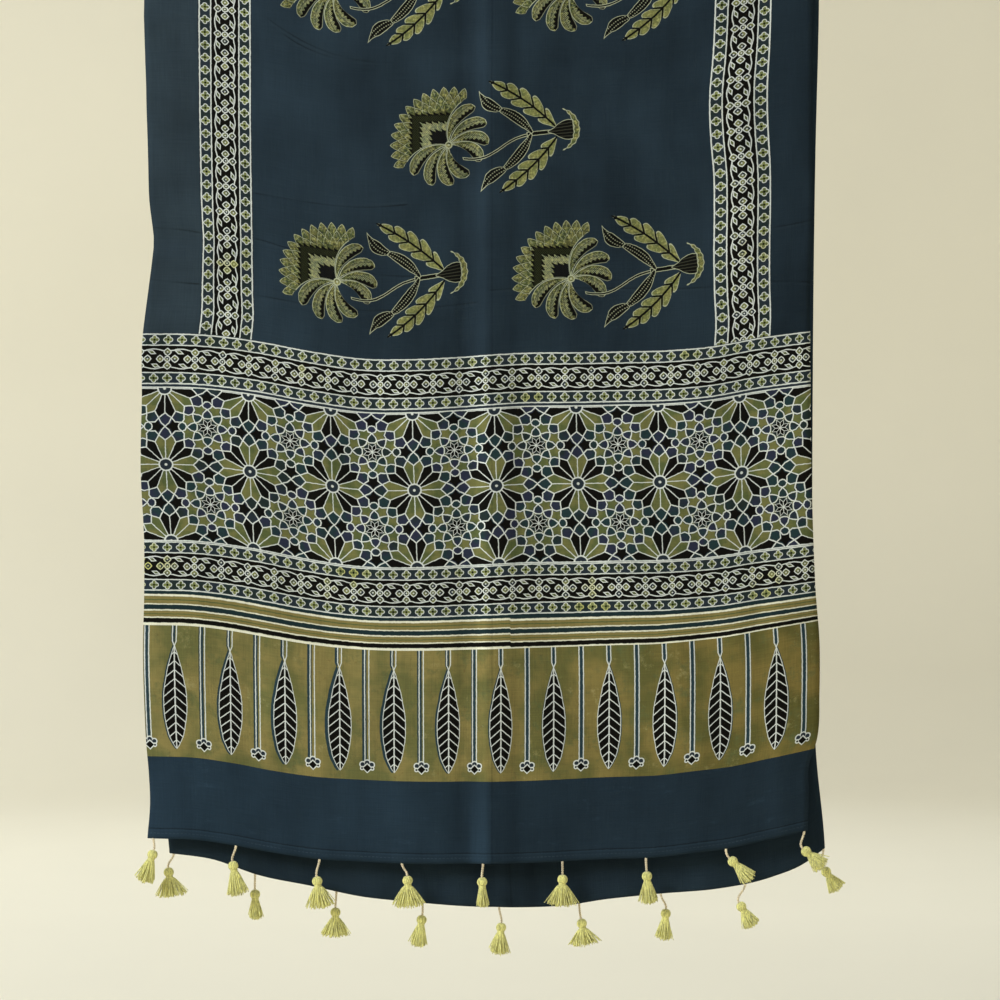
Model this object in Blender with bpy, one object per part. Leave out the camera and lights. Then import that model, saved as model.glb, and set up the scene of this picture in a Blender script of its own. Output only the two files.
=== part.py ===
"""A block-printed stole hung doubled over a slack line, with nine tassels on each end.

The frame: +X is to the right of someone facing the front layer, +Y points away from that
person, towards the wall, and +Z is up. The origin is the middle of the fold that the stole
hangs by. A drop is the distance down a layer from the fold's crest.
"""

import math
from collections import namedtuple

import bmesh
import bpy
import numpy as np
from mathutils import Vector

MM = 0.001
AWAY = Vector((0, 1, 0))

# The stole
WIDTH = 0.560
SHEET = 0.0012
HEM_THICKNESS = 0.0020
HEM = 0.009
HEM_STEP = 0.001
FOLD_RADIUS = 0.012
FRONT_DROP = 0.982
BACK_DROP = 1.021
LAYER_DEPTH = 0.008
CLOSING_DROP = 0.220
CURL = 0.003
CURL_REACH = 0.014

# The grid that the sheet is worked out on
COLUMNS = 21
CREASE_COLUMNS = (-17 * MM, -9 * MM, 1 * MM, 8 * MM, 15 * MM)
FRONT_ROWS = 31
BACK_ROWS = 19
FOLD_STEPS = 8

# The tassels
HEAD_RADIUS = 0.0041
TIE_RADIUS = 0.00125
CLEARANCE = 0.0003
SIDES = 8
SKIRT_DEPTH = 0.0060
STRAND_GAP = 0.0003
TIE_SIDES = 6
TIE_STEPS = 4
TIE_EASE = 0.4
HEM_CLEARANCE = 0.0006

Lift = namedtuple("Lift", "across lift")
Edge = namedtuple("Edge", "drop left right")
Rise = namedtuple("Rise", "across rise")
Crease = namedtuple("Crease", "x0 drop0 x1 drop1 width height")
Tassel = namedtuple("Tassel", "across lean tie swing length spread")
Ring = namedtuple("Ring", "radius height")

# How far the slack line lifts the cloth at each place across it, in millimetres
LINE = (
    Lift(-280, 19.5),
    Lift(-240, 18.5),
    Lift(-208, 14.0),
    Lift(-175, 8.0),
    Lift(-134, 2.5),
    Lift(-98, 0.8),
    Lift(0, 0.0),
    Lift(49, 0.8),
    Lift(110, 3.0),
    Lift(148, 4.0),
    Lift(185, 7.5),
    Lift(207, 9.5),
    Lift(243, 15.5),
    Lift(280, 21.0),
)

# The front layer's two side edges at each drop, in millimetres
FRONT_EDGES = (
    Edge(0, -279, 281),
    Edge(280, -281, 280),
    Edge(365, -279, 280),
    Edge(445, -277, 280),
    Edge(485, -273, 279),
    Edge(523, -277, 278),
    Edge(560, -282, 278),
    Edge(670, -284, 279),
    Edge(737, -281, 281),
    Edge(780, -281, 283),
    Edge(824, -282, 286),
    Edge(866, -281, 286),
    Edge(905, -279, 284),
    Edge(928, -277, 278),
    Edge(950, -276, 277),
    Edge(982, -278, 276),
)

# The same for the back layer
BACK_EDGES = (
    Edge(0, -279, 281),
    Edge(280, -272, 287),
    Edge(410, -274, 284),
    Edge(573, -276, 282),
    Edge(783, -276, 282),
    Edge(917, -273, 285),
    Edge(990, -262, 292),
    Edge(1021, -260, 293),
)

# How far the back hem stands above its lowest point, in millimetres
BACK_HEM = (
    Rise(-280, 52),
    Rise(-244, 47),
    Rise(-204, 33),
    Rise(-158, 23),
    Rise(-118, 13),
    Rise(-77, 7.5),
    Rise(-20, 2.0),
    Rise(18, 0.0),
    Rise(57, 1.7),
    Rise(89, 6.0),
    Rise(142, 11.5),
    Rise(185, 15.5),
    Rise(233, 24),
    Rise(262, 35),
    Rise(280, 48),
)

# Soft ridges, with a height towards the viewer, and troughs, with a negative one
FRONT_CREASES = (
    Crease(6, 30, 11, 990, 9, 3.2),
    Crease(-17, 30, -14, 720, 8, -1.6),
    Crease(-189, 280, -73, 312, 7, 2.0),
    Crease(-273, 484, -167, 477, 7, -2.2),
    Crease(-273, 498, -195, 496, 7, 1.6),
    Crease(-283, 294, -242, 296, 6, 1.4),
    Crease(-283, 322, -250, 316, 6, -1.2),
)
BACK_CREASES = (
    Crease(8, 30, 14, 1025, 9, 2.4),
    Crease(-150, 860, -40, 1000, 12, 1.8),
)

# Each tassel in millimetres and degrees: where its tie leaves the hem, how far the head
# hangs to the right of that, the tie from hem to head, the skirt's swing to the right,
# its length and half its width
FRONT_TASSELS = (
    Tassel(-273.0, -0.8, 13.4, -17, 26.0, 8.8),
    Tassel(-204.0, -2.3, 16.8, 10, 27.0, 9.6),
    Tassel(-134.0, -1.9, 18.4, 9, 24.5, 13.0),
    Tassel(-64.5, 4.6, 14.2, 3, 24.5, 15.0),
    Tassel(3.4, -0.8, 15.1, 2, 22.6, 5.0),
    Tassel(70.0, 0.0, 15.1, -1, 24.3, 14.2),
    Tassel(140.0, 0.8, 15.1, 4, 24.7, 8.4),
    Tassel(207.0, 5.6, 10.4, 45, 23.5, 7.5),
    Tassel(273.0, 1.6, 16.8, 48, 21.0, 8.4),
)
BACK_TASSELS = (
    Tassel(-258.0, -4.2, 14.2, 8, 22.9, 14.2),
    Tassel(-189.4, 0.0, 14.2, 2, 22.6, 5.9),
    Tassel(-120.7, -0.8, 15.9, 0, 22.6, 13.4),
    Tassel(-47.8, -0.8, 14.2, -8, 24.5, 7.5),
    Tassel(16.8, 1.7, 17.2, -5, 24.3, 8.8),
    Tassel(84.6, 2.1, 16.8, 10, 20.5, 14.2),
    Tassel(153.4, 4.2, 16.8, -5, 23.9, 7.1),
    Tassel(224.6, -3.4, 18.9, 31, 21.0, 8.0),
    Tassel(291.0, 2.1, 19.0, 34, 20.0, 8.0),
)

# A tassel's head from the tie down to the roots of its strands, from the head's middle
HEAD = (
    Ring(0.0014, 0.0039),
    Ring(0.0034, 0.0026),
    Ring(HEAD_RADIUS, 0.0002),
    Ring(0.0034, -0.0026),
    Ring(0.0026, -0.0040),
    Ring(0.0036, -0.0052),
)
OUTER_ROOTS = Ring(0.0023, -0.0052)
INNER_ROOTS = Ring(0.0010, -0.0052)


def clear_scene():
    for item in list(bpy.data.objects):
        bpy.data.objects.remove(item, do_unlink=True)


def material(name, colour, roughness):
    made = bpy.data.materials.new(name)
    made.use_nodes = True
    surface = made.node_tree.nodes["Principled BSDF"]
    surface.inputs["Base Color"].default_value = (*colour, 1.0)
    surface.inputs["Roughness"].default_value = roughness
    surface.inputs["Metallic"].default_value = 0.0
    made.diffuse_color = (*colour, 1.0)
    return made


def node(name, mesh, surface):
    made = bpy.data.objects.new(name, mesh)
    mesh.materials.append(surface)
    bpy.context.collection.objects.link(made)
    return made


def along(table, at, key, value):
    """A smooth curve through one column of a table, whose slope at each row is that of
    its neighbours, and which stays level past the first and last rows."""
    x = np.array([getattr(row, key) for row in table], float) * MM
    y = np.array([getattr(row, value) for row in table], float) * MM
    slope = np.gradient(y, x)
    at = np.clip(at, x[0], x[-1])
    i = np.clip(np.searchsorted(x, at) - 1, 0, len(x) - 2)
    step = x[i + 1] - x[i]
    s = (at - x[i]) / step
    return (
        y[i] * (1 + 2 * s) * (1 - s) ** 2
        + slope[i] * step * s * (1 - s) ** 2
        + y[i + 1] * s**2 * (3 - 2 * s)
        - slope[i + 1] * step * s**2 * (1 - s)
    )


def creases(table, x, drop):
    """The height of the ridges and troughs at a place: each falls off as a bell curve
    with the distance from its line."""
    height = np.zeros(np.broadcast(x, drop).shape)
    for row in table:
        start = np.array([row.x0, row.drop0]) * MM
        run = np.array([row.x1, row.drop1]) * MM - start
        share = ((x - start[0]) * run[0] + (drop - start[1]) * run[1]) / (run @ run)
        share = np.clip(share, 0, 1)
        away = np.hypot(x - start[0] - share * run[0], drop - start[1] - share * run[1])
        height += row.height * MM * np.exp(-((away / (row.width * MM)) ** 2))
    return height


def half_gap(drop):
    """How far a layer hangs from the middle: the layers close in below the fold."""
    share = np.clip((drop - FOLD_RADIUS) / CLOSING_DROP, 0, 1)
    share = share * share * (3 - 2 * share)
    return FOLD_RADIUS + (LAYER_DEPTH - FOLD_RADIUS) * share


def waves(x, drop, phase):
    """Slow vertical waves, which grow from nothing at the fold to the hem."""
    grown = np.clip(drop / FRONT_DROP, 0, 1)
    broad = np.sin(2 * np.pi * (x / 0.230 + 0.30 * drop + phase))
    narrow = np.sin(2 * np.pi * (x / 0.104 - 0.45 * drop + 2 * phase))
    return grown * (0.0018 * broad + 0.0008 * narrow)


def curl(x, drop, left, right):
    """The side edges bend back towards the wall, more the lower they are."""
    from_left = np.exp(-(x - left) / CURL_REACH)
    from_right = np.exp(-(right - x) / CURL_REACH)
    return CURL * np.clip(drop / FRONT_DROP, 0, 1) * (from_left + from_right)


def line_lift(across):
    return along(LINE, (across - 0.5) * WIDTH, "across", "lift")


def back_drop(across):
    """The back layer's drop from the fold to its hem."""
    rise = along(BACK_HEM, (across - 0.5) * WIDTH, "across", "rise")
    return BACK_DROP - rise + line_lift(across)


def front_place(across, drop):
    """The front layer's middle surface, at a share across it and a drop below the fold."""
    left = along(FRONT_EDGES, drop, "drop", "left")
    right = along(FRONT_EDGES, drop, "drop", "right")
    x = left + (right - left) * across
    shown = np.clip((drop - FOLD_RADIUS) / (2 * FOLD_RADIUS), 0, 1)
    relief = creases(FRONT_CREASES, x, drop) + waves(x, drop, 0.1)
    relief -= curl(x, drop, left, right)
    return x, -half_gap(drop) - shown * relief, line_lift(across) - drop


def back_place(across, drop):
    """The back layer's middle surface, given as the front layer's is."""
    left = along(BACK_EDGES, drop, "drop", "left")
    right = along(BACK_EDGES, drop, "drop", "right")
    x = left + (right - left) * across
    shown = np.clip((drop - FOLD_RADIUS) / (2 * FOLD_RADIUS), 0, 1)
    relief = creases(BACK_CREASES, x, drop) + waves(x, drop, 0.6)
    return x, half_gap(drop) + shown * relief, line_lift(across) - drop


def fold_place(across, turn):
    """The fold: half a turn of FOLD_RADIUS from the front layer to the back one."""
    left = FRONT_EDGES[0].left * MM
    right = FRONT_EDGES[0].right * MM
    x = left + (right - left) * across
    y = -FOLD_RADIUS * np.cos(turn)
    return x, y, line_lift(across) - FOLD_RADIUS + FOLD_RADIUS * np.sin(turn)


def sheet_points():
    """Every row of the sheet from the front hem over the fold to the back hem, as an
    array of rows, columns and X, Y, Z, with each row's thickness."""
    even = np.linspace(0, 1, COLUMNS)
    across = np.unique(np.concatenate([even, 0.5 + np.array(CREASE_COLUMNS) / WIDTH]))
    rows, thickness = [], []

    def add(place, thick):
        rows.append(np.stack(np.broadcast_arrays(*place), axis=-1))
        thickness.append(thick)

    add(front_place(across, np.full_like(across, FRONT_DROP)), HEM_THICKNESS)
    add(front_place(across, np.full_like(across, FRONT_DROP - HEM)), HEM_THICKNESS)
    front_body = FRONT_DROP - HEM - HEM_STEP
    for drop in np.linspace(front_body, FOLD_RADIUS, FRONT_ROWS):
        add(front_place(across, np.full_like(across, drop)), SHEET)
    for step in range(1, FOLD_STEPS):
        add(fold_place(across, math.pi * step / FOLD_STEPS), SHEET)
    whole = back_drop(across)
    for share in np.linspace(0, 1, BACK_ROWS):
        body = whole - HEM - HEM_STEP - FOLD_RADIUS
        add(back_place(across, FOLD_RADIUS + body * share), SHEET)
    add(back_place(across, whole - HEM), HEM_THICKNESS)
    add(back_place(across, whole), HEM_THICKNESS)
    return np.array(rows), np.array(thickness)


def make_cloth(surface):
    points, thickness = sheet_points()
    rows, columns, _ = points.shape
    first = (np.arange(rows - 1)[:, None] * columns + np.arange(columns - 1)).ravel()
    faces = np.stack([first, first + 1, first + columns + 1, first + columns], axis=1)
    mesh = bpy.data.meshes.new("cloth")
    mesh.from_pydata(points.reshape(-1, 3).tolist(), [], faces.tolist())
    mesh.shade_smooth()
    cloth = node("cloth", mesh, surface)
    weights = cloth.vertex_groups.new(name="thickness")
    for row in range(rows):
        places = list(range(row * columns, (row + 1) * columns))
        weights.add(places, thickness[row] / HEM_THICKNESS, "REPLACE")
    solid = cloth.modifiers.new("Thickness", "SOLIDIFY")
    solid.thickness = HEM_THICKNESS
    solid.offset = 0.0
    solid.vertex_group = weights.name
    solid.thickness_vertex_group = 0.0
    return cloth


def ring_of(shape, ring):
    """One ring of SIDES points round the tassel's axis."""
    made = []
    for side in range(SIDES):
        angle = 2 * math.pi * (side + 0.5) / SIDES
        place = (ring.radius * math.cos(angle), ring.radius * math.sin(angle), ring.height)
        made.append(shape.verts.new(place))
    return made


def band(shape, upper, lower):
    """The faces between two rings."""
    faces = []
    for side in range(SIDES):
        after = (side + 1) % SIDES
        faces.append(shape.faces.new((upper[side], lower[side], lower[after], upper[after])))
    return faces


def tassel_mesh(name, tassel):
    """A bound head whose underside is inset into two rings of roots, each drawn down into
    a four-sided strand that spreads with the skirt."""
    shape = bmesh.new()
    rings = [ring_of(shape, ring) for ring in (*HEAD, OUTER_ROOTS, INNER_ROOTS)]
    shape.faces.new(rings[0])
    bands = [band(shape, upper, lower) for upper, lower in zip(rings, rings[1:])]
    shape.faces.new(list(reversed(rings[-1])))
    roots = bands[-2] + bands[-1]
    bmesh.ops.inset_individual(shape, faces=roots, thickness=STRAND_GAP / 2)
    drawn = bmesh.ops.extrude_discrete_faces(shape, faces=roots)["faces"]
    wide = tassel.spread * MM / HEAD[-1].radius
    deep = min(tassel.spread * MM, SKIRT_DEPTH) / HEAD[-1].radius
    for face in drawn:
        middle = face.calc_center_median()
        for corner in face.verts:
            corner.co.x += middle.x * (wide - 1)
            corner.co.y += middle.y * (deep - 1)
            corner.co.z = -tassel.length * MM
    bmesh.ops.recalc_face_normals(shape, faces=shape.faces)
    mesh = bpy.data.meshes.new(name)
    shape.to_mesh(mesh)
    shape.free()
    return mesh


def tie_mesh(name, top, bottom, crown):
    """A round yarn that leaves the hem straight down and meets the head along the crown's
    direction: rings of TIE_SIDES points square to a cubic curve in the X-Z plane."""
    reach = (top - bottom).length * TIE_EASE
    controls = (top, top - Vector((0, 0, reach)), bottom + crown * reach, bottom)
    shape = bmesh.new()
    loops = []
    for step in range(TIE_STEPS + 1):
        share = step / TIE_STEPS
        weights = [math.comb(3, k) * share**k * (1 - share) ** (3 - k) for k in range(4)]
        slopes = [math.comb(2, k) * share**k * (1 - share) ** (2 - k) for k in range(3)]
        centre = sum((w * c for w, c in zip(weights, controls)), Vector())
        legs = [after - before for before, after in zip(controls, controls[1:])]
        across = sum((w * leg for w, leg in zip(slopes, legs)), Vector()).normalized()
        across = across.cross(AWAY)
        loop = []
        for side in range(TIE_SIDES):
            angle = 2 * math.pi * side / TIE_SIDES
            offset = across * math.cos(angle) + AWAY * math.sin(angle)
            loop.append(shape.verts.new(centre + offset * TIE_RADIUS))
        loops.append(loop)
    shape.faces.new(loops[0])
    for upper, lower in zip(loops, loops[1:]):
        for side in range(TIE_SIDES):
            after = (side + 1) % TIE_SIDES
            shape.faces.new((upper[side], lower[side], lower[after], upper[after]))
    shape.faces.new(list(reversed(loops[-1])))
    bmesh.ops.recalc_face_normals(shape, faces=shape.faces)
    mesh = bpy.data.meshes.new(name)
    shape.to_mesh(mesh)
    shape.free()
    return mesh


def hem_point(place, drop_of, x):
    """The hem's edge at X, found by stepping the share across the layer."""
    share = 0.5 + x / WIDTH
    for _ in range(6):
        at = place(share, drop_of(share))
        share += (x - float(at[0])) / WIDTH
    at = place(share, drop_of(share))
    return float(at[0]), float(at[1]), float(at[2])


def make_tassels(side, table, place, drop_of, yarn, tie_yarn):
    for number, tassel in enumerate(table, start=1):
        hem = Vector(hem_point(place, drop_of, tassel.across * MM))
        head = hem + Vector((tassel.lean, 0, -tassel.tie)) * MM
        tilt = math.radians(tassel.swing)
        name = f"tassel_{side}_{number}"
        hung = node(name, tassel_mesh(name, tassel), yarn)
        hung.location = head
        hung.rotation_euler = (0.0, -tilt, 0.0)
        crown = Vector((-math.sin(tilt), 0, math.cos(tilt)))
        bottom = head + crown * (HEAD[0].height + CLEARANCE)
        top = hem - Vector((0, 0, HEM_CLEARANCE))
        tie_name = f"tie_{side}_{number}"
        node(tie_name, tie_mesh(tie_name, top, bottom, crown), tie_yarn)


def main():
    clear_scene()
    print_cloth = material("indigo_cloth", (0.016, 0.034, 0.058), 0.72)
    yarn = material("sage_yarn", (0.36, 0.40, 0.12), 0.90)
    tie_yarn = material("cream_yarn", (0.66, 0.52, 0.30), 0.90)
    make_cloth(print_cloth)
    make_tassels("front", FRONT_TASSELS, front_place, lambda share: FRONT_DROP, yarn, tie_yarn)
    make_tassels("back", BACK_TASSELS, back_place, back_drop, yarn, tie_yarn)


main()
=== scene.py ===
"""A hanging ajrakh stole: the printed cloth, its tassels and ties, and a plain studio.

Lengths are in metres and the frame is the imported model's: +X right, +Y backwards,
+Z up, the origin at the middle of the fold. The print has places of its own: u is the
distance across the cloth from its middle, and v the distance along it from the nearer hem,
or, on the field between the end bands, from the front hem. Patterns count both in
millimetres.
"""

import math
from collections import namedtuple

import bpy
import numpy as np
from bpy.props import FloatProperty, FloatVectorProperty, IntProperty, PointerProperty
from bpy.types import Operator, Panel, PropertyGroup
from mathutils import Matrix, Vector


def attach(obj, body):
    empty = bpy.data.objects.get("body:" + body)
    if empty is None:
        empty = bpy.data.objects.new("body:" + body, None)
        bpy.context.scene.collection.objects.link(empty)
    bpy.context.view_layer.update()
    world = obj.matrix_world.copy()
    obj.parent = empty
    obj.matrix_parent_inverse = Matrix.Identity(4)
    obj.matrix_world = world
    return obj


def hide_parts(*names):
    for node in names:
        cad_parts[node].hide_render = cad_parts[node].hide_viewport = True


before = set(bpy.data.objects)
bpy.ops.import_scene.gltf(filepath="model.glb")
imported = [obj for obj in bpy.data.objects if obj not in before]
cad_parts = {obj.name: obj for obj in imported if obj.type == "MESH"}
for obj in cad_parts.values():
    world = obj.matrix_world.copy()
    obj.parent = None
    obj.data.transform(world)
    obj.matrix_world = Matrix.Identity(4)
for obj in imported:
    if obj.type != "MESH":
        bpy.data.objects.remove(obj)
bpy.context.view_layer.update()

bl_info = {
    "name": "Hanging ajrakh stole",
    "version": (1, 0, 0),
    "blender": (4, 5, 0),
    "location": "3D View > Sidebar > Stole",
    "description": "Makes a block-printed stole with tassels, hung doubled, and its studio",
    "category": "Object",
}

MM = 0.001

# The stole's own measures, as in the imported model
WIDTH = 0.560
FOLD_RADIUS = 0.012
FRONT_DROP = 0.982
BACK_DROP = 1.021
LAYER_DEPTH = 0.008
CLOSING_DROP = 0.220
CURL = 0.003
CURL_REACH = 0.014

# The print's regions, as distances from a hem
HEM_HEIGHT = 0.009
PANEL_END = 0.0688
LEAVES_END = 0.1779
STRIPES_END = 0.2060
LOWER_END = 0.2475
STARS_END = 0.3765
BANDS_END = 0.4215
FIELD_BAND = 7
# and across, from the middle
LEFT_MARGIN = -0.2363
LEFT_FIELD = -0.1912
RIGHT_FIELD = 0.1953
RIGHT_MARGIN = 0.2439

Tassel = namedtuple("Tassel", "across lean tie swing length spread")

# How far the sagging fold stands above its lowest point, as places across and heights in
# millimetres
LINE = (
    (-280, 19.5), (-240, 18.5), (-208, 14.0), (-175, 8.0), (-134, 2.5), (-98, 0.8), (0, 0.0),
    (49, 0.8), (110, 3.0), (148, 4.0), (185, 7.5), (207, 9.5), (243, 15.5), (280, 21.0),
)

# The same for the print's upper band, which the hanging cloth stretches a little
BAND_LINE = (
    (-280, 22.0), (-233, 21.0), (-188, 15.5), (-142, 7.0), (-98, 0.8), (-53, 0.4), (-8, 2.8),
    (37, 5.6), (81, 6.2), (119, 6.9), (157, 7.8), (194, 11.0), (231, 17.6), (280, 24.0),
)

# The same for the right edge below that band
LOW_LINE = ((-280, 0.0), (170, 0.0), (207, 1.0), (243, 2.6), (280, 4.6))

# How much lower the lower border hangs, most at the right edge, in millimetres
LOW_DIP = (
    (-280, 0.0), (-200, 0.2), (-110, 1.4), (0, 1.7), (90, 2.0), (130, 2.1), (165, 2.6),
    (217, 4.0), (250, 5.0), (280, 5.5),
)

# Where those tables hold along the front layer, as drops from the fold and the stretches
# over which they come and go
BAND_DROP, BAND_REACH, BAND_FADE = 0.560, 0.260, 0.200
LOW_DROP, LOW_REACH = 0.600, 0.140
DIP_DROP, DIP_REACH, DIP_END, DIP_FADE = 0.655, 0.080, 0.812, 0.040
PRESSED_REACH = 0.400

# How far the front layer's printed lines stand to the right of straight, at each drop:
# the left edge, the left border, the middle, the right border and the right edge
FRONT_DRIFT = (
    (0, 1, 0, 0, 0, 1), (200, 0, 0.7, 0, 3.2, 0), (260, -0.6, 0.7, 0, 3.1, 0),
    (282, -1, 0.7, 0, 2.3, 0), (316, -0.6, 0.7, 0, 0.5, 0), (350, 0.6, 0.7, 0, -2.6, 0),
    (370, 1, 0.7, 0, -2.6, 0), (389, 1.6, 0.9, 0, -1.4, 0), (417, 2.4, 1.3, 0, 1.2, 0),
    (447, 3.2, 1.8, 0, 1.6, 0), (485, 7, 2.4, 0, 1.2, -1), (521, 3, 2.9, 0, 2.0, -2),
    (544, 0, 3.4, 0, 3.1, -2), (560, -2, 1.5, 0, 2.0, -2), (620, -3, -1, 0, 0.5, -1.6),
    (670, -4, -1.5, 0, 0, -1), (737, -1, 0, 0, 1, 1), (780, -1, 0, 0, 2, 3),
    (824, -2, -0.5, 0, 4, 6), (866, -1, 0, 0, 4, 6), (905, 1, 0.6, 0, 3, 4),
    (928, 3, 1.5, 0, 0, -3), (950, 4, 2, 0, -1, -3), (982, 2, 1, 0, -1.5, -4),
)
DRIFT_PLACES = (-0.280, -0.215, 0.0, 0.218, 0.280)

# The back layer's two side edges at each drop, in millimetres
BACK_EDGES = (
    (0, -279, 281), (280, -272, 287), (410, -274, 284), (573, -276, 282), (783, -276, 282),
    (917, -273, 285), (990, -262, 292), (1021, -260, 293),
)

# How far the back hem stands above the back layer's full drop, in millimetres
BACK_HEM = (
    (-280, 44), (-244, 39), (-204, 25), (-158, 15.5), (-118, 7.5), (-77, 3.0), (-20, -1.0),
    (18, -2.0), (57, -0.5), (89, 4.5), (142, 10), (185, 14), (233, 23.5), (262, 35), (280, 48),
)

# The pressed fold down the front layer's middle, as a height towards the viewer
PRESSED = (
    (-60, 0.0), (-28, 0.0), (-10, -1.4), (1, 1.4), (11, 4.0), (17, 3.0), (45, 0.6), (80, 0.0),
)

# Soft ridges, with a height towards the viewer, and troughs, with a negative one: the
# places across and down of both ends, the width and the height, in millimetres
FRONT_CREASES = (
    (-189, 280, -73, 312, 7, 2.0), (-273, 484, -167, 477, 7, -2.2),
    (-273, 498, -195, 496, 7, 1.6), (-283, 294, -242, 296, 6, 1.4),
    (-283, 322, -250, 316, 6, -1.2), (-190, 527, 20, 516, 4, 0.6), (20, 516, 260, 534, 4, 0.5),
    (-120, 366, -40, 372, 5, 0.5), (30, 352, 180, 344, 4, 0.5), (-230, 430, -120, 424, 5, -0.6),
    (70, 440, 240, 452, 5, 0.5), (-9, 905, 40, 965, 5, 0.7), (-255, 925, -190, 960, 6, 0.8),
    (-140, 940, -60, 962, 6, -0.6), (110, 930, 190, 956, 6, 0.7), (210, 960, 275, 925, 6, -0.8),
    (-230, 660, -60, 668, 6, 0.4), (60, 690, 250, 682, 6, 0.4), (255, 560, 262, 760, 7, -1.2),
    (244, 790, 252, 975, 7, 1.2), (-262, 590, -258, 760, 7, 0.9),
)
BACK_CREASES = (
    (8, 30, 14, 1025, 9, 2.4), (-150, 860, -40, 1000, 12, 1.8), (-90, 960, 10, 1012, 7, -0.8),
    (60, 950, 150, 1004, 8, 0.9), (180, 930, 250, 985, 8, -0.9), (-230, 930, -170, 985, 8, 0.9),
)

# Each tassel in millimetres and degrees: where its tie leaves the hem, how far the head
# hangs to the right of that, the tie from hem to head, the skirt's swing to the right,
# its length and half its width
FRONT_TASSELS = (
    Tassel(-273.0, -0.8, 13.4, -17, 26.0, 8.8),
    Tassel(-204.0, -2.3, 16.8, 10, 27.0, 9.6),
    Tassel(-134.0, -1.9, 18.4, 9, 24.5, 13.0),
    Tassel(-64.5, 4.6, 14.2, 3, 24.5, 15.0),
    Tassel(3.4, -0.8, 15.1, 2, 22.6, 5.0),
    Tassel(70.0, 0.0, 15.1, -1, 24.3, 14.2),
    Tassel(140.0, 0.8, 15.1, 4, 24.7, 8.4),
    Tassel(207.0, 5.6, 10.4, 45, 23.5, 7.5),
    Tassel(273.0, 1.6, 16.8, 48, 21.0, 8.4),
)
BACK_TASSELS = (
    Tassel(-258.0, -4.2, 15.5, 8, 22.9, 14.2),
    Tassel(-189.4, 0.0, 17.0, 2, 22.6, 5.9),
    Tassel(-120.7, -0.8, 17.5, 0, 22.6, 13.4),
    Tassel(-47.8, -0.8, 14.2, -8, 24.5, 7.5),
    Tassel(16.8, 1.7, 17.2, -5, 24.3, 8.8),
    Tassel(84.6, 2.1, 16.8, 10, 20.5, 14.2),
    Tassel(153.4, 4.2, 16.8, -5, 23.9, 7.1),
    Tassel(224.6, -3.4, 18.9, 31, 21.0, 8.0),
    Tassel(291.0, 2.1, 19.0, 34, 20.0, 8.0),
)


# Shader expressions


class Signal:
    """A socket in a material. An operator on it adds the Math node that it names."""

    def __init__(self, shade, socket):
        self.shade = shade
        self.socket = socket

    def math(self, operation, *others, clamp=False):
        settings = {"operation": operation, "use_clamp": clamp}
        return self.shade.node("ShaderNodeMath", settings, (self, *others))

    def __add__(self, other):
        return self.math("ADD", other)

    __radd__ = __add__

    def __sub__(self, other):
        return self.math("SUBTRACT", other)

    def __rsub__(self, other):
        return self.shade.node("ShaderNodeMath", {"operation": "SUBTRACT"}, (other, self))

    def __mul__(self, other):
        return self.math("MULTIPLY", other)

    __rmul__ = __mul__

    def __truediv__(self, other):
        return self.math("DIVIDE", other)

    def __neg__(self):
        return self.math("MULTIPLY", -1.0)

    def __abs__(self):
        return self.math("ABSOLUTE")

    def least(self, other):
        return self.math("MINIMUM", other)

    def most(self, other):
        return self.math("MAXIMUM", other)

    def above(self, limit):
        return self.math("GREATER_THAN", limit)

    def below(self, limit):
        return self.math("LESS_THAN", limit)

    def over(self, limit, slope):
        """0 up to a limit, and from there a slope up to 1."""
        return (self - limit).math("MULTIPLY", slope, clamp=True)

    def ramp(self, slope, level):
        """A slope that has its level where the value is nothing, kept between 0 and 1."""
        return self.math("MULTIPLY_ADD", slope, level, clamp=True)

    def inside(self, soft=0.35):
        """1 where a signed distance is below nothing, softened over soft millimetres."""
        return self.ramp(-1.0 / soft, 0.5)

    def line(self, width, soft=0.35):
        """1 on a line of this width where the value passes through nothing."""
        return (abs(self) - width / 2).inside(soft)

    def repeat(self, pitch):
        """The distance from the nearest whole multiple of pitch, with its sign."""
        return self.math("WRAP", pitch / 2, -pitch / 2)

    def turned(self, pitch):
        """The distance from the nearest whole multiple of pitch."""
        return self.math("PINGPONG", pitch / 2)


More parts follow.
